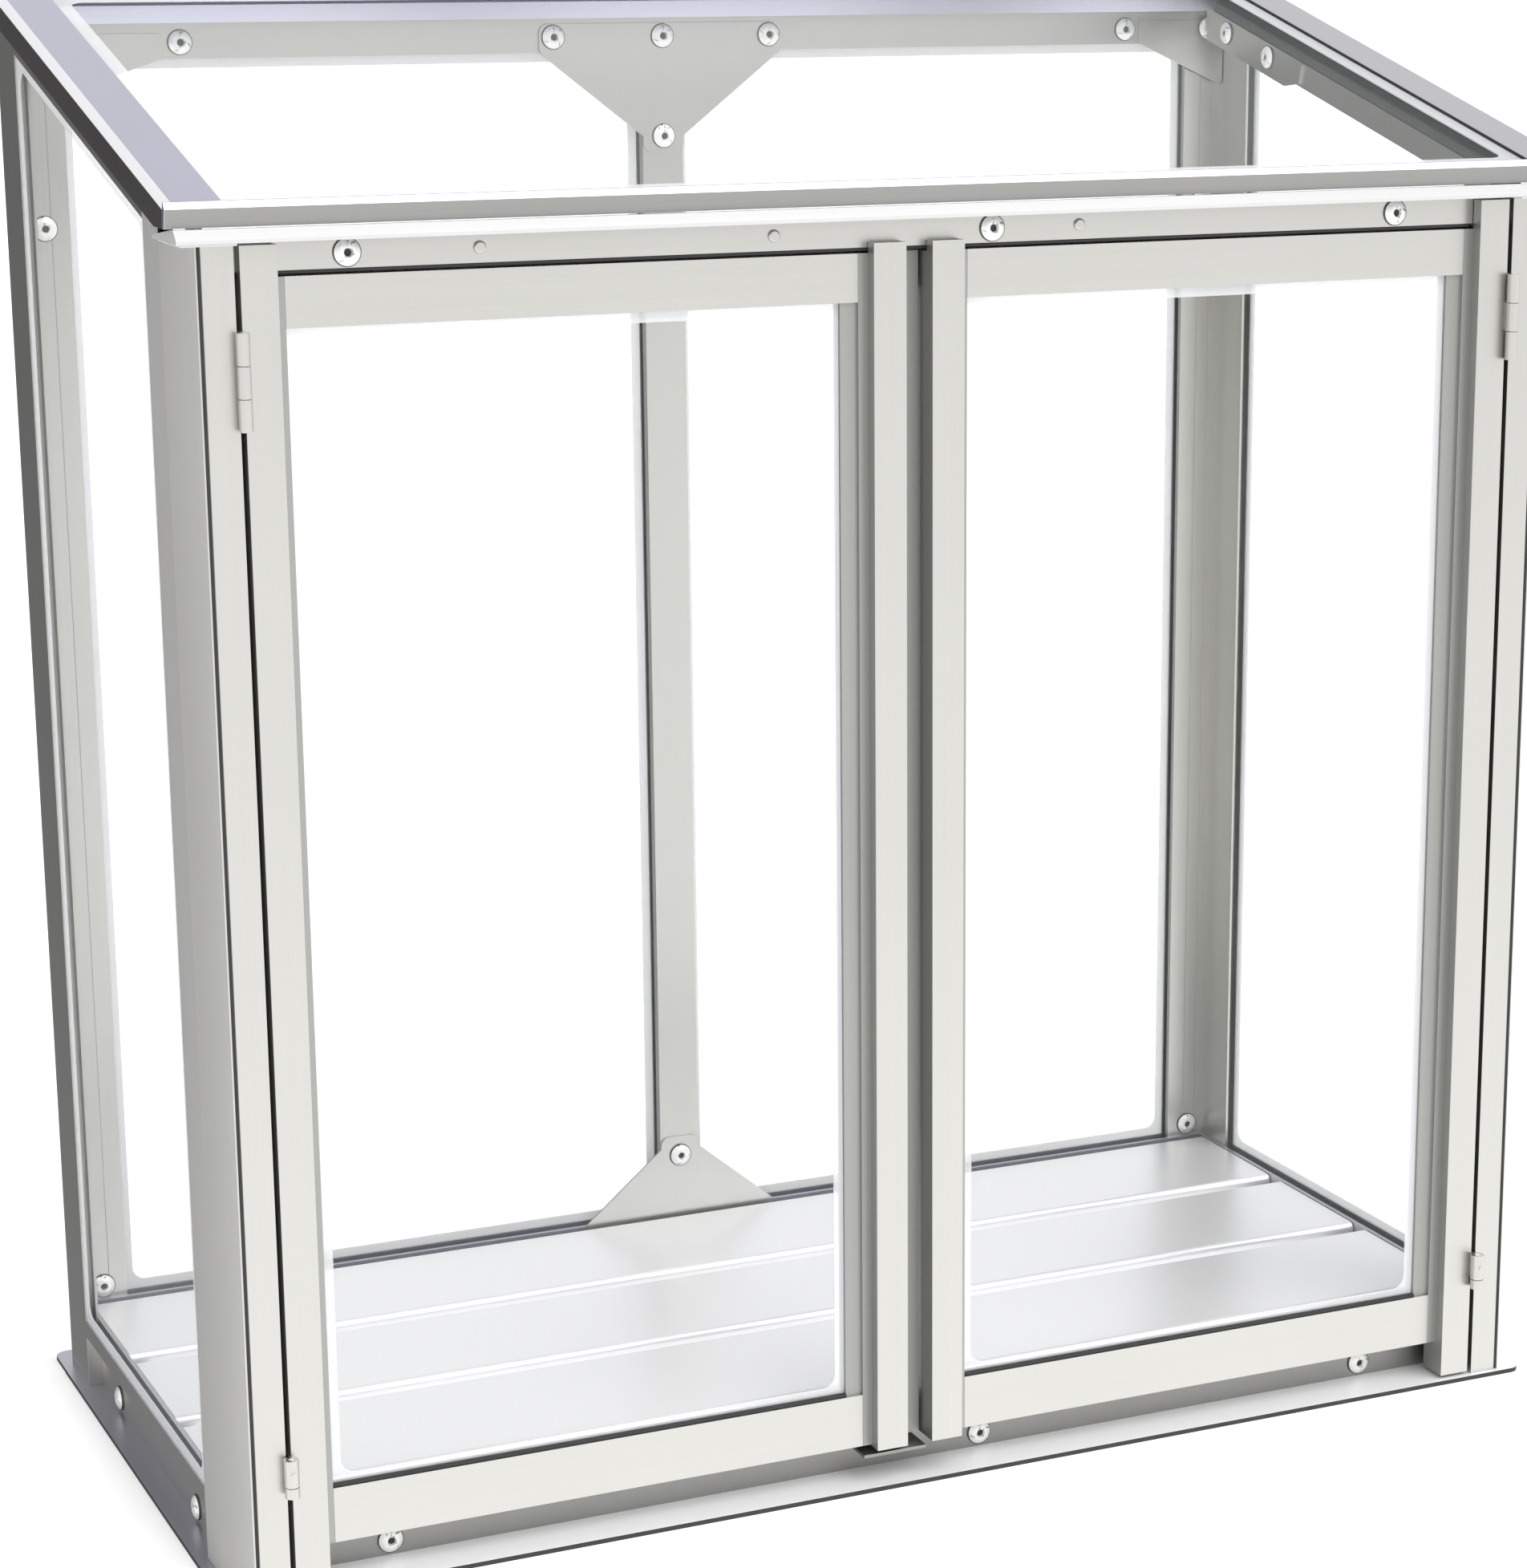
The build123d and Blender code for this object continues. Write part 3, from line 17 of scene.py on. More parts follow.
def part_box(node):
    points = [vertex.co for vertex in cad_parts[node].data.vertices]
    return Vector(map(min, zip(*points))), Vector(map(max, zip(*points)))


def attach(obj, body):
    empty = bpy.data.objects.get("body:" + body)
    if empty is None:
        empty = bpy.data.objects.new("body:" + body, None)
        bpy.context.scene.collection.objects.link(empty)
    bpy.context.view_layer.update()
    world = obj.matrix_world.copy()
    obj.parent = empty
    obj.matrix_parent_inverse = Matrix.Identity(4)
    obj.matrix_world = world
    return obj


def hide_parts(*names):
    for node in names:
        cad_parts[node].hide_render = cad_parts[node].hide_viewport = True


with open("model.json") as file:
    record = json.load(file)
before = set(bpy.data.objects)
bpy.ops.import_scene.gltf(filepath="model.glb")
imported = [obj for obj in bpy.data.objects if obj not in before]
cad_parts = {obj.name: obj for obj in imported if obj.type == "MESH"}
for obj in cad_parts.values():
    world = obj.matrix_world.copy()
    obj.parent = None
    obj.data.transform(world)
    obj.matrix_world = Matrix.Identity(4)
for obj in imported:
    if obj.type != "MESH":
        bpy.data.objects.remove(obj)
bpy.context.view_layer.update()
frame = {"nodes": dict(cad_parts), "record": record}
bodies = {node: body for body, nodes in frame["record"]["behaviour"]["bodies"].items() for node in nodes}

# %% [markdown]
# ## Shader maths as ordinary sums
#
# A finish is a small network of nodes. Wiring each Math node by hand hides the idea behind the wiring, so
# one small class stands for a socket and lets a finish be written as a sum, such as 0.3 + 0.1 * lines.
# Colours and vectors have nodes of their own, because a Math node would turn them grey.

# %% A socket that can be added and multiplied
class Signal:
    def __init__(self, finish, socket):
        self.finish = finish
        self.socket = socket

    def sum(self, operation, first, second):
        return self.finish.node("ShaderNodeMath", {"operation": operation}, {0: first, 1: second})

    def __add__(self, other):
        return self.sum("ADD", self, other)

    def __radd__(self, other):
        return self.sum("ADD", other, self)

    def __sub__(self, other):
        return self.sum("SUBTRACT", self, other)

    def __rsub__(self, other):
        return self.sum("SUBTRACT", other, self)

    def __mul__(self, other):
        return self.sum("MULTIPLY", self, other)

    def __rmul__(self, other):
        return self.sum("MULTIPLY", other, self)


# %% [markdown]
# ## One method for every other node
#
# Settings go on first, because some of them change which sockets a node has. Then each socket gets a
# number, a colour or a link. The noise and blend helpers below are the two that every finish here leans
# on.

# %% A finish, and the nodes it is made of
class Finish:
    def __init__(self, name):
        self.material = bpy.data.materials.new(name)
        self.material.use_nodes = True
        self.tree = self.material.node_tree
        self.tree.nodes.clear()
        self.place = self.node("ShaderNodeTexCoord", output="Object")

    def node(self, kind, settings=None, sockets=None, output=0):
        made = self.tree.nodes.new(kind)
        settings = dict(settings or {})
        stops = settings.pop("stops", ())
        for name, value in settings.items():
            setattr(made, name, value)
        for number, (position, grey) in enumerate(stops):
            ramp = made.color_ramp.elements
            stop = ramp[number] if number < len(ramp) else ramp.new(position)
            stop.position = position
            stop.color = (grey, grey, grey, 1.0)
        for name, value in (sockets or {}).items():
            if isinstance(value, Signal):
                self.tree.links.new(value.socket, made.inputs[name])
            else:
                made.inputs[name].default_value = value
        return Signal(self, made.outputs[output])

    def noise(self, per_metre, detail=2.0, roughness=0.5):
        """Noise with its own number of grains per metre along X, Y and Z."""
        stretched = self.node("ShaderNodeVectorMath", {"operation": "MULTIPLY"},
                              {0: self.place, 1: per_metre})
        sockets = {"Vector": stretched, "Scale": 1.0, "Detail": detail, "Roughness": roughness}
        return self.node("ShaderNodeTexNoise", sockets=sockets)

    def blend(self, amount, low, high):
        """A colour between two others."""
        sockets = {"Factor": amount, 6: (*low, 1.0), 7: (*high, 1.0)}
        return self.node("ShaderNodeMix", {"data_type": "RGBA"}, sockets, output=2)

    def bump(self, height, metres):
        return self.node("ShaderNodeBump", sockets={"Height": height, "Strength": 0.6, "Distance": metres})

    def surface(self, **sockets):
        named = {name.replace("_", " ").title(): value for name, value in sockets.items()}
        shader = self.node("ShaderNodeBsdfPrincipled", sockets=named)
        output = self.tree.nodes.new("ShaderNodeOutputMaterial")
        self.tree.links.new(shader.socket, output.inputs["Surface"])
        return self.material


# %% [markdown]
# ## Drawn aluminium
#
# The die leaves fine lines along a section, and the bare metal has a soft satin sheen rather than a
# mirror's. The lines are noise that is very long one way and very short the other. They tint the metal a
# little, change how sharply it reflects, and stand up a few hundredths of a millimetre. Broad, faint
# clouds are the marks of handling. The direction matters: a post's lines run up it, and a rail's run
# along it.

# %% A section's finish, by the way its lines run
LINE = 1100.0
RUN = 2.2


def drawn(name, along, light, dark, rough=0.34, metal=1.0):
    finish = Finish(name)
    per_metre = tuple(RUN if axis == along else LINE for axis in "xyz")
    lines = finish.noise(per_metre, detail=3.0, roughness=0.7)
    clouds = finish.noise((7.0, 7.0, 7.0), detail=3.0)
    specks = finish.noise((420.0, 420.0, 420.0), detail=1.0)
    tone = 0.45 * lines + 0.4 * clouds + 0.15 * specks
    colour = finish.blend(tone, dark, light)
    return finish.surface(base_color=colour, metallic=metal, roughness=rough - 0.07 + 0.14 * tone,
                          normal=finish.bump(lines, 0.00005))


PAINTED_LIGHT_PALE, PAINTED_SHADE_GREY = (0.94, 0.94, 0.93), (0.44, 0.43, 0.45)
WARM, WARM_DARK = (0.63, 0.625, 0.60), (0.52, 0.515, 0.49)
# The bluish tint is a painted reflection on the lid rails, and its darker end also tints the painted shade
# of the base sides.
PAINTED_BLUE_REFLECTION, PAINTED_BLUE_REFLECTION_DARK = (0.64, 0.64, 0.76), (0.52, 0.52, 0.63)
SHEET, SHEET_DARK = (0.93, 0.93, 0.95), (0.86, 0.86, 0.88)
metal = {
    # painted light: the front base rail is a paler, barely metallic copy of the aluminium, so its flange
    # looks near white
    "foot": drawn("drawn_base_crosswise_painted_light", "x", PAINTED_LIGHT_PALE, SHEET, metal=0.08),
    # painted shade: the side and rear base rails are a darker, bluish copy of the same aluminium
    "painted_shade_foot_side": drawn("drawn_base_sides_painted_shade", "y", PAINTED_BLUE_REFLECTION_DARK, PAINTED_SHADE_GREY, metal=0.8),
    # painted shade: a darker, less bluish copy of the lid metal, for the right lid rail
    "lid_side_painted_shade": drawn("lid_front_to_back_painted_shade", "y", (0.60, 0.59, 0.62), (0.50, 0.49, 0.52)),
    # painted shade: a darker, duller copy for the sides of the door ribs and for the faces set back behind
    # them
    "painted_shade_post": drawn("painted_shade_upright", "z", (0.42, 0.42, 0.40), (0.32, 0.32, 0.31), rough=0.45, metal=0.75),
    # painted light: a less metallic copy, so the slanted and outer faces of the front posts look paler
    "painted_light_facet": drawn("drawn_facet_painted_light", "z", (0.60, 0.595, 0.58), (0.50, 0.495, 0.48), metal=0.4),
    # painted highlight: a paler, barely metallic copy for the top of the eave lip
    "lip": drawn("cut_lip", "x", (0.66, 0.66, 0.66), (0.60, 0.60, 0.60), metal=0.3),
    # painted shade: a dark, dull copy for faces that sit in shade
    "painted_shade_rail": drawn("painted_shade_crosswise", "x", (0.36, 0.355, 0.345), (0.27, 0.27, 0.26), rough=0.45),
    # painted shade: a dark grey copy for the outer sides of the lid and for an outline round the bolt
    # flanges
    "painted_shade_side": drawn("painted_shade_front_to_back", "y", (0.20, 0.18, 0.185), (0.13, 0.12, 0.12), rough=0.45),
    # painted highlight: a near-white, barely metallic copy for the bevel along each lid side rail
    "painted_highlight_edge": drawn("painted_highlight_bevel", "y", (0.95, 0.95, 0.97), (0.88, 0.88, 0.92), metal=0.3),
    "post": drawn("drawn_upright", "z", WARM, WARM_DARK),
    "rail": drawn("drawn_crosswise", "x", WARM, WARM_DARK),
    "side": drawn("drawn_front_to_back", "y", WARM, WARM_DARK),
    # painted reflection: the lid rails carry the bluish tint
    "lid_rail": drawn("lid_crosswise", "x", PAINTED_BLUE_REFLECTION, PAINTED_BLUE_REFLECTION_DARK),
    "lid_side": drawn("lid_front_to_back", "y", PAINTED_BLUE_REFLECTION, PAINTED_BLUE_REFLECTION_DARK),
}
print(len(metal), "drawn finishes")

# %% [markdown]
# ## Rolled sheet
#
# The floor slats and the corner plates are sheet, not sections. Rolling leaves a shorter, softer grain,
# and the slats are the palest metal here, close to a white satin, so they are less metallic than the
# sections. Part of that paleness is painted light, so that the fronts of the slats stay bright down in the
# gaps between them.

# %% Sheet, hardware, rubber and plastic
def rolled(name, grain, light, dark, rough, metallic):
    finish = Finish(name)
    brushed = finish.noise(grain, detail=2.0, roughness=0.6)
    clouds = finish.noise((11.0, 11.0, 11.0), detail=2.0)
    tone = 0.5 * brushed + 0.5 * clouds
    return finish.surface(base_color=finish.blend(tone, dark, light), metallic=metallic,
                          roughness=rough - 0.05 + 0.1 * tone, normal=finish.bump(brushed, 0.00003))


# Partly painted light: the slats are made pale to keep their fronts bright in the gaps.
metal["slat"] = rolled("rolled_slat", (30.0, 700.0, 700.0), SHEET, SHEET_DARK, 0.36, 0.6)
metal["plate"] = rolled("cut_plate", (700.0, 700.0, 60.0), WARM, WARM_DARK, 0.36, 0.95)
metal["zinc"] = rolled("zinc_plate", (900.0, 900.0, 900.0), (0.97, 0.97, 0.96), (0.90, 0.90, 0.89),
                       0.34, 0.35)


def moulded(name, light, dark, rough, grain=1800.0, alpha=1.0):
    finish = Finish(name)
    pebble = finish.noise((grain, grain, grain), detail=1.0)
    clouds = finish.noise((25.0, 25.0, 25.0), detail=2.0)
    tone = 0.6 * clouds + 0.4 * pebble
    return finish.surface(base_color=finish.blend(tone, dark, light), roughness=rough + 0.1 * tone,
                          alpha=alpha, normal=finish.bump(pebble, 0.00004))


soft = {
    # The black rubber of the seals also stands in as painted shade on grooves, recesses and edges.
    "black_rubber_and_painted_shade": moulded("seal_rubber_and_painted_shade", (0.035, 0.035, 0.037), (0.012, 0.012, 0.012), 0.55),
    "catch": moulded("catch_plastic", (0.06, 0.06, 0.065), (0.03, 0.03, 0.03), 0.4),
    "cap": moulded("cap_plastic", (0.85, 0.85, 0.86), (0.76, 0.76, 0.76), 0.45),
    "bead": moulded("milky_bead", (0.93, 0.94, 0.96), (0.86, 0.87, 0.90), 0.3, alpha=0.5),
}
print(len(soft), "rubber and plastic finishes")


# %% [markdown]
# ## Clear panes
#
# A thin pane hides almost nothing when you look straight through it and reflects more and more as the look
# grazes it. So the pane is mostly open, and a Fresnel node closes it towards the edge-on view. A faint
# waviness and a film of dust keep it from being a perfect nothing.

# %% Glass
def pane(name):
    finish = Finish(name)
    dust = finish.noise((14.0, 14.0, 14.0), detail=4.0)
    wave = finish.noise((5.0, 5.0, 5.0), detail=1.0)
    graze = finish.node("ShaderNodeFresnel", sockets={"IOR": 1.45})
    return finish.surface(base_color=finish.blend(dust, (0.55, 0.60, 0.59), (0.75, 0.78, 0.78)),
                          roughness=0.02 + 0.04 * dust, alpha=0.006 + 0.012 * dust + 0.10 * graze,
                          normal=finish.bump(wave, 0.0004))


glass = pane("clear_pane")


# %% [markdown]
# ## Floor, light and camera
#
# A pale floor, which glows a little so that it stays white, and a soft sky do most of the lighting. The
# sky has one broad, much darker patch low behind the frame on the left, because metal shows what it
# mirrors, and the patch gives the long sections a shaded side. The sky also glows near the ground and
# dims overhead, and a broad sun makes the soft highlights. The camera stands left of the frame and looks
# down through a long lens.

# %% The floor
def only(thing):
    bpy.ops.object.select_all(action="DESELECT")
    thing.select_set(True)
    bpy.context.view_layer.objects.active = thing


bpy.ops.object.select_all(action="DESELECT")
bpy.ops.mesh.primitive_plane_add(size=60.0, location=(0.0, 0.0, 0.0))
floor = bpy.context.object
floor.name = "studio_floor"
paper = Finish("studio_paper")
floor.data.materials.append(paper.surface(base_color=(0.92, 0.92, 0.92, 1.0), roughness=0.8,
                                          emission_color=(1.0, 1.0, 1.0, 1.0), emission_strength=0.3))
floor.visible_glossy = False

# %% The light
DARK_CARD = (-0.40, 0.90, -0.10)
sky = bpy.data.worlds.new("studio_sky")
bpy.context.scene.world = sky
sky.use_nodes = True
wires = sky.node_tree
background = wires.nodes["Background"]
direction = wires.nodes.new("ShaderNodeTexCoord")
parts = wires.nodes.new("ShaderNodeSeparateXYZ")
towards = wires.nodes.new("ShaderNodeVectorMath")
towards.operation = "DOT_PRODUCT"
towards.inputs[1].default_value = Vector(DARK_CARD).normalized()
wires.links.new(direction.outputs["Generated"], parts.inputs[0])
wires.links.new(direction.outputs["Generated"], towards.inputs[0])


def shade(socket, low, high, first, last):
    """Turn one measure of the direction into a brightness."""
    ramp = wires.nodes.new("ShaderNodeMapRange")
    ramp.interpolation_type = "SMOOTHSTEP"
    for name, value in (("From Min", low), ("From Max", high), ("To Min", first), ("To Max", last)):
        ramp.inputs[name].default_value = value
    wires.links.new(socket, ramp.inputs["Value"])
    return ramp.outputs[0]


def product(first, second):
    both = wires.nodes.new("ShaderNodeMath")
    both.operation = "MULTIPLY"
    wires.links.new(first, both.inputs[0])
    wires.links.new(second, both.inputs[1])
    return both.outputs[0]


card = shade(towards.outputs["Value"], 0.72, 0.97, 1.0, 0.12)
low_glow = shade(parts.outputs["Z"], -0.42, 0.05, 1.45, 1.0)
high_dim = shade(parts.outputs["Z"], 0.2, 0.75, 1.0, 0.66)
wires.links.new(product(product(low_glow, high_dim), card), background.inputs["Color"])
background.inputs["Strength"].default_value = 1.1

sun = bpy.data.objects.new("studio_sun", bpy.data.lights.new("studio_sun", "SUN"))
sun.data.energy = 1.8
sun.data.angle = math.radians(50.0)
sun.rotation_euler = (math.radians(38.0), 0.0, math.radians(28.0))
bpy.context.scene.collection.objects.link(sun)
bpy.context.scene.view_settings.view_transform = "Standard"

# %% The camera
CAMERA_PLACE = (-0.88653, -2.08522, 0.89260)
CAMERA_DOWN = 0.244
CAMERA_TURN = 0.441
camera = bpy.data.objects.new("camera", bpy.data.cameras.new("camera"))
camera.location = CAMERA_PLACE
camera.rotation_euler = (math.pi / 2 - CAMERA_DOWN, 0.0, -CAMERA_TURN)
camera.data.lens = 87.27
camera.data.shift_x = -0.1038
camera.data.shift_y = 0.0504
camera.data.dof.use_dof = False
bpy.context.scene.collection.objects.link(camera)
bpy.context.scene.camera = camera
print("camera at", CAMERA_PLACE)

# %% [markdown]
# ## Easing the edges
#
# The measured model has perfectly sharp corners, and those look like paper. A real section's corners are
# rounded by a third of a millimetre or so, just enough to catch a thread of light. Each node but the
# panes and the bolts is copied, its triangles are joined back into flat faces, and a Bevel modifier rolls
# every sharp edge. Weighted normals then keep the broad faces flat in the light. The copy is shown in
# the node's place, and the node is hidden but kept. The copy stands for the node, which stays behind it
# for the physics.

# %% A copy with rolled edges
WELD = 0.000002
NEARLY_FLAT = math.radians(0.4)
SHARP = math.radians(40.0)
SMOOTH = math.radians(32.0)
EDGE = 0.0004
pieces = {}


def eased(node, finish, width=EDGE, segments=2):
    piece = bpy.data.objects.new(node + "_finished", frame["nodes"][node].data.copy())
    bpy.context.scene.collection.objects.link(piece)
    only(piece)
    bpy.ops.mesh.customdata_custom_splitnormals_clear()
    bpy.ops.object.mode_set(mode="EDIT")
    bpy.ops.mesh.select_all(action="SELECT")
    bpy.ops.mesh.remove_doubles(threshold=WELD)
    bpy.ops.mesh.dissolve_limited(angle_limit=NEARLY_FLAT)
    bpy.ops.object.mode_set(mode="OBJECT")
    roll = piece.modifiers.new("rolled_edges", "BEVEL")
    roll.width = width
    roll.segments = segments
    roll.limit_method = "ANGLE"
    roll.angle_limit = SHARP
    bpy.ops.object.modifier_apply(modifier=roll.name)
    bpy.ops.object.shade_smooth_by_angle(angle=SMOOTH)
    even = piece.modifiers.new("even_faces", "WEIGHTED_NORMAL")
    even.keep_sharp = True
    bpy.ops.object.modifier_apply(modifier=even.name)
    piece.data.materials.clear()
    piece.data.materials.append(finish)
    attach(piece, bodies[node])
    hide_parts(node)
    pieces[node] = piece
    return len(piece.data.polygons)


# %% [markdown]
# ## Faces with painted shade and painted light
#
# The sides of a rib, the glazing flanges and the upright wall of the base look greyer than the fronts,
# and a groove looks black. Much of that comes from the surroundings, which this plain sky only partly
# copies, so those faces get a second, matched material. They are picked by which way they look (n,
# the normal) and where they are (c, the centre, in metres). The second material says nothing about the
# real metal, and the piece keeps its own finish on its other faces.

# %% A second finish on some faces, for painted shade and painted light
FACING = 0.9


def repaint(mesh, finish, wanted):
    mesh.materials.append(finish)
    number = len(mesh.materials) - 1
    changed = 0
    for face in mesh.polygons:
        if wanted(face.normal, face.center):
            face.material_index = number
            changed += 1
    return changed


def refinish(node, finish, wanted):
    print(node, repaint(pieces[node].data, finish, wanted), "faces refinished")


# %% [markdown]
# ## The base, the posts and the top rails
#
# These stand still. Each is listed with the way its section runs, because that is how its lines run.

# %% Base and floor
# The front base rail takes the paler copy, as painted light, and the other base rails take the darker copy,
# as painted shade.
still = {
    "front_base_rail": "foot", "rear_base_rail": "painted_shade_foot_side", "left_base_rail": "painted_shade_foot_side",
    "right_base_rail": "painted_shade_foot_side",
    "front_floor_slat": "slat", "middle_floor_slat": "slat", "rear_floor_slat": "slat",
}
for node, kind in still.items():
    print(node, eased(node, metal[kind]), "faces")

# %% The walls, with painted shade, and the painted shadow along the edge of the base
FLANGE_TOP = 0.0031
EDGE_TOP = 0.0026
# Painted shade on the upright wall of the front base rail, under the doors.
refinish("front_base_rail", metal["painted_shade_rail"], lambda n, c: n.y < -FACING and c.z > FLANGE_TOP)
for node in ("front_base_rail", "left_base_rail", "right_base_rail", "rear_base_rail"):
    # Painted shadow: the bottom edge of each base rail is painted black where it meets the floor.
    refinish(node, soft["black_rubber_and_painted_shade"], lambda n, c: abs(n.z) < 0.3 and c.z < EDGE_TOP)
for node in ("left_base_rail", "right_base_rail"):
    refinish(node, metal["side"], lambda n, c: abs(n.x) > FACING and c.z > FLANGE_TOP)

# %% Posts and top rails
uprights = {
    "left_front_post": "post", "right_front_post": "post", "left_rear_post": "post",
    "right_rear_post": "post", "rear_centre_bar": "post", "eave_rail": "rail", "rear_top_rail": "rail",
    "left_side_top_rail": "side", "right_side_top_rail": "side",
}
for node, kind in uprights.items():
    print(node, eased(node, metal[kind]), "faces")

# %% Post grooves, slanted and outer faces, and the eave lip: painted shade and painted light
POST_FRONT = -0.2022
GROOVE_DEPTH = -0.2
GROOVE_INNER = 0.396
GROOVE_OUTER = 0.4
EAVE_LIP = 0.0072
EAVE_UNDERSIDE = 0.0005
for node, out in (("left_front_post", -1), ("right_front_post", 1)):
    # Painted light on the slanted and outer faces of the post.
    refinish(node, metal["painted_light_facet"], lambda n, c: n.x * out > FACING)
    # Painted shade: the grooves in the post are painted black.
    refinish(node, soft["black_rubber_and_painted_shade"], lambda n, c: (n.x * out > 0.99 and c.y < GROOVE_DEPTH)
             or (n.x * out < -FACING and c.x * out > GROOVE_OUTER)
             or (n.y < -FACING and c.y > POST_FRONT and c.x * out > GROOVE_INNER))
lip_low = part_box("eave_rail")[1].z - EAVE_LIP
# Painted highlight on the top of the eave lip.
refinish("eave_rail", metal["lip"], lambda n, c: c.z > lip_low and n.z > -0.5)
# Painted shade on the underside of the eave lip.
refinish("eave_rail", metal["painted_shade_rail"], lambda n, c: c.z > lip_low - EAVE_UNDERSIDE and n.z < -0.3)

# %% Corner plates and small hardware of the frame
plates = {
    "rear_top_gusset": "rail", "rear_foot_gusset": "rail", "rear_corner_gussets": "rail",
    # the door keeper gets painted shade
    "side_corner_gussets": "side", "door_keeper": "painted_shade_rail", "hinge_post_leaves": "plate",
    "frame_nuts": "zinc", "hinge_pins": "zinc",
    "stay_peg": "zinc", "stay_bracket": "zinc", "lid_stay": "zinc",
}
for node, kind in plates.items():
    print(node, eased(node, metal[kind], width=0.00025), "faces")
eased("post_caps", soft["cap"], width=0.0003)
eased("magnetic_catches", soft["catch"], width=0.0006)

# %% [markdown]
# ## The doors and the lid
#
# Each door is two stiles, two rails and a pane, and the lid is four rails round a pane. They are finished
# the same way, and each copy rides on its own door or on the lid, so it swings with it.

# %% Doors
RIB_DEPTH = 0.006
for side in ("left", "right"):
    for part, kind in (("hinge_stile", "post"), ("meeting_stile", "post"), ("top_rail", "rail"),
                       ("bottom_rail", "rail")):
        print(side, part, eased(f"{side}_door_{part}", metal[kind]), "faces")
    for part in ("hinge_leaves", "strike_plate"):
        eased(f"{side}_door_{part}", metal["plate"], width=0.0002)
    for part in ("hinge_stile", "meeting_stile"):
        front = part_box(f"{side}_door_{part}")[0].y
        # Painted shade on the sides of each rib and on the front faces set back behind it.
        refinish(f"{side}_door_{part}", metal["painted_shade_post"],
                 lambda n, c: abs(n.x) > FACING or (n.y < -FACING and c.y > front + RIB_DEPTH))

# %% Lid
# The lid rails carry the painted bluish reflection tint, and the right rail takes the darker copy, as
# painted shade.
for part, kind in (("front_rail", "lid_rail"), ("rear_rail", "lid_rail"), ("left_rail", "lid_side"),
                   ("right_rail", "lid_side_painted_shade")):
    print("lid", part, eased(f"lid_{part}", metal[kind]), "faces")
# Painted shade on the front face of the lid's front rail.
refinish("lid_front_rail", metal["painted_shade_rail"], lambda n, c: n.y < -FACING)
for node, out in (("lid_left_rail", -1), ("lid_right_rail", 1)):
    # Painted shade on the outer side of each lid side rail.
    refinish(node, metal["painted_shade_side"], lambda n, c: n.x * out > FACING)
    # Painted highlight on the bevel along the top of each side rail.
    refinish(node, metal["painted_highlight_edge"], lambda n, c: 0.5 < n.x * out < 0.85 and n.z > 0.3)
    # Painted shade: the inner side of each lid side rail is painted black.
    refinish(node, soft["black_rubber_and_painted_shade"], lambda n, c: n.x * out < -FACING)

# %% [markdown]
# ## Panes, beads and seals
#
# The panes keep their measured shape and only get the glass. A bead is a soft, milky strip that is pushed
# in beside the pane, so it gets a fatter roll along its edges than metal would.

# %% Glass, beads and rubber
for node in ("left_door_pane", "right_door_pane", "side_panes", "rear_panes", "lid_pane"):
    frame["nodes"][node].data.materials.clear()
    frame["nodes"][node].data.materials.append(glass)
for node in ("fixed_pane_beads", "left_door_glazing_bead", "right_door_glazing_bead", "lid_glazing_bead"):
    print(node, eased(node, soft["bead"], width=0.0006, segments=3), "faces")
for node in ("door_weather_strips", "lid_gaskets", "left_door_gasket", "right_door_gasket"):
    print(node, eased(node, soft["black_rubber_and_painted_shade"], width=0.0006), "faces")


# %% [markdown]
# ## Flanged bolt heads
#
# The frame is held by dome-headed bolts with a broad flange. Each bolt is modelled upright at the origin:
# a thin disc is extruded and narrowed in steps to a dome, the top is sunk to a small recess, and the
# underside is inset and drawn out to the shank. A step is the radius to come in to and the height to go
# to.

# %% Find where the bolts go
FLANGE = 0.0076
DISC = 0.0008
HEAD = 0.0034
SHANK = 0.003
FIT = 0.0004
RIM = 0.0006


def loose_parts(node):
    """Each separate solid of a node, as a list of its points."""
    copy = bpy.data.objects.new("scratch", frame["nodes"][node].data.copy())
    bpy.context.scene.collection.objects.link(copy)
    only(copy)
    bpy.ops.object.mode_set(mode="EDIT")
    bpy.ops.mesh.select_all(action="SELECT")
    bpy.ops.mesh.remove_doubles(threshold=WELD)
    bpy.ops.mesh.separate(type="LOOSE")
    bpy.ops.object.mode_set(mode="OBJECT")
    found = []
    for piece in list(bpy.context.selected_objects):
        found.append([vertex.co.copy() for vertex in piece.data.vertices])
        bpy.data.objects.remove(piece)
    return found


def seat(points):
    """Where a bolt's flange sits, which way its head looks, and how far its shank reaches."""
    low = Vector([min(p[i] for p in points) for i in range(3)])
    high = Vector([max(p[i] for p in points) for i in range(3)])
    middle = (low + high) / 2
    across = 0 if abs((high - low)[0] - 2 * FLANGE) > FIT else 1
    others = [axis for axis in range(3) if axis != across]
    wide = [point[across] for point in points
            if math.dist([point[i] for i in others], [middle[i] for i in others]) > FLANGE - RIM]
    out = 1.0 if sum(wide) / len(wide) > middle[across] else -1.0
    face = min(wide) if out > 0 else max(wide)
    place = middle.copy()
    place[across] = face
    axis = Vector((0.0, 0.0, 0.0))
    axis[across] = out
    return place, axis, high[across] - low[across] - HEAD


places = [seat(points) for points in loose_parts("frame_bolts")]
print(len(places), "bolts")

# %% [markdown]
# The bolt is shaped with extrude, resize and inset. Its faces are picked by where they are, never by
# number, because the numbers change as the mesh grows.

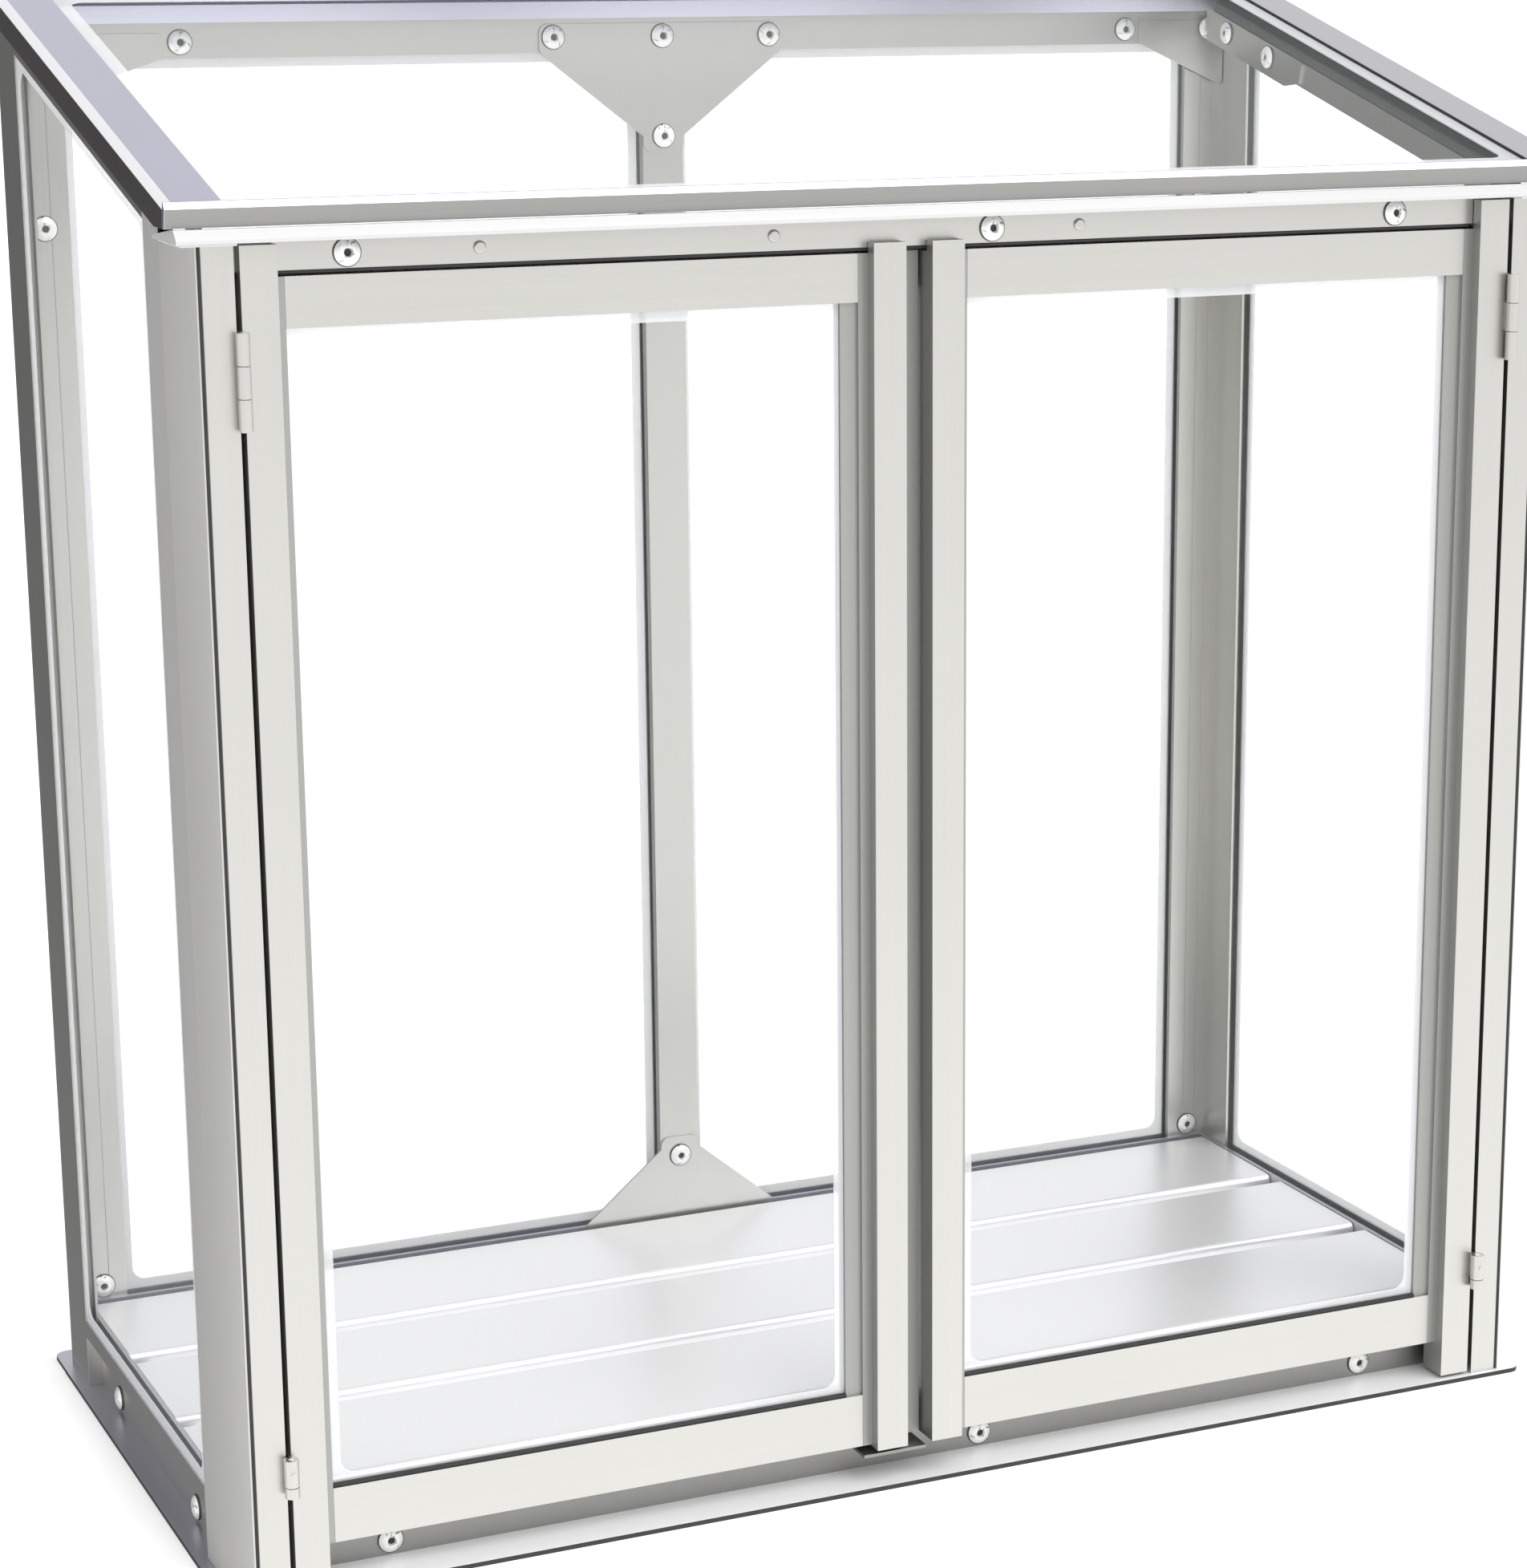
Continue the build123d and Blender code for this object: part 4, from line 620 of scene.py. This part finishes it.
# %% Model one bolt
HEAD_STEPS = ((0.0070, 0.0011), (0.0061, 0.0019), (0.0050, 0.0025), (0.0038, 0.0029),
              (0.0024, 0.0030), (0.0019, 0.0016))
RECESS_LOW = 0.0012
RECESS_RADIUS = 0.0021
RIM_RADIUS = 0.0071
BOLT_EDGE = 0.0002


def pick_cap(piece, z, up):
    """Select the one flat end of a round piece."""
    bpy.ops.object.mode_set(mode="OBJECT")
    for face in piece.data.polygons:
        face.select = abs(face.center.z - z) < 0.00002 and face.normal.z * up > 0.9
    bpy.ops.object.mode_set(mode="EDIT")


def bolt(length):
    bpy.ops.object.select_all(action="DESELECT")
    bpy.ops.mesh.primitive_cylinder_add(vertices=32, radius=FLANGE, depth=DISC, location=(0, 0, DISC / 2))
    piece = bpy.context.object
    bpy.ops.object.transform_apply(location=True)
    bpy.ops.object.mode_set(mode="EDIT")
    bpy.ops.mesh.select_mode(type="FACE")
    radius, height = FLANGE, DISC
    pick_cap(piece, height, 1)
    for new_radius, new_height in HEAD_STEPS:
        bpy.ops.mesh.extrude_region_move(TRANSFORM_OT_translate={"value": (0, 0, new_height - height)})
        scale = new_radius / radius
        bpy.ops.transform.resize(value=(scale, scale, 1.0))
        radius, height = new_radius, new_height
    pick_cap(piece, 0.0, -1)
    bpy.ops.mesh.inset(thickness=FLANGE - SHANK)
    bpy.ops.mesh.extrude_region_move(TRANSFORM_OT_translate={"value": (0, 0, -length)})
    bpy.ops.object.mode_set(mode="OBJECT")
    roll = piece.modifiers.new("rolled_edges", "BEVEL")
    roll.width = BOLT_EDGE
    roll.segments = 2
    roll.angle_limit = SHARP
    bpy.ops.object.modifier_apply(modifier=roll.name)
    bpy.ops.object.shade_smooth_by_angle(angle=math.radians(35.0))
    piece.data.materials.append(metal["zinc"])
    # Painted shade: the recess in the top of the head is painted black.
    repaint(piece.data, soft["black_rubber_and_painted_shade"], lambda n, c: c.z > RECESS_LOW and c.xy.length < RECESS_RADIUS)
    # Painted shadow: the rim of the flange is painted dark grey, as an outline round the head.
    repaint(piece.data, metal["painted_shade_side"], lambda n, c: c.z > 0.0 and c.xy.length > RIM_RADIUS)
    return piece


# %% Put a bolt in every place
def together(parts, name):
    bpy.ops.object.select_all(action="DESELECT")
    for part in parts:
        part.select_set(True)
    bpy.context.view_layer.objects.active = parts[0]
    bpy.ops.object.join()
    whole = bpy.context.object
    whole.name = name
    return whole


set_bolts = []
for place, axis, length in places:
    piece = bolt(length)
    tilt = Vector((0, 0, 1)).rotation_difference(axis).to_matrix().to_4x4()
    piece.data.transform(Matrix.Translation(place) @ tilt)
    set_bolts.append(piece)
bolts = together(set_bolts, "flanged_bolts")
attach(bolts, "root")
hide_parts("frame_bolts")
eased("eave_rivets", metal["side"], width=0.0002)
print(len(bolts.data.polygons), "faces in the bolts")
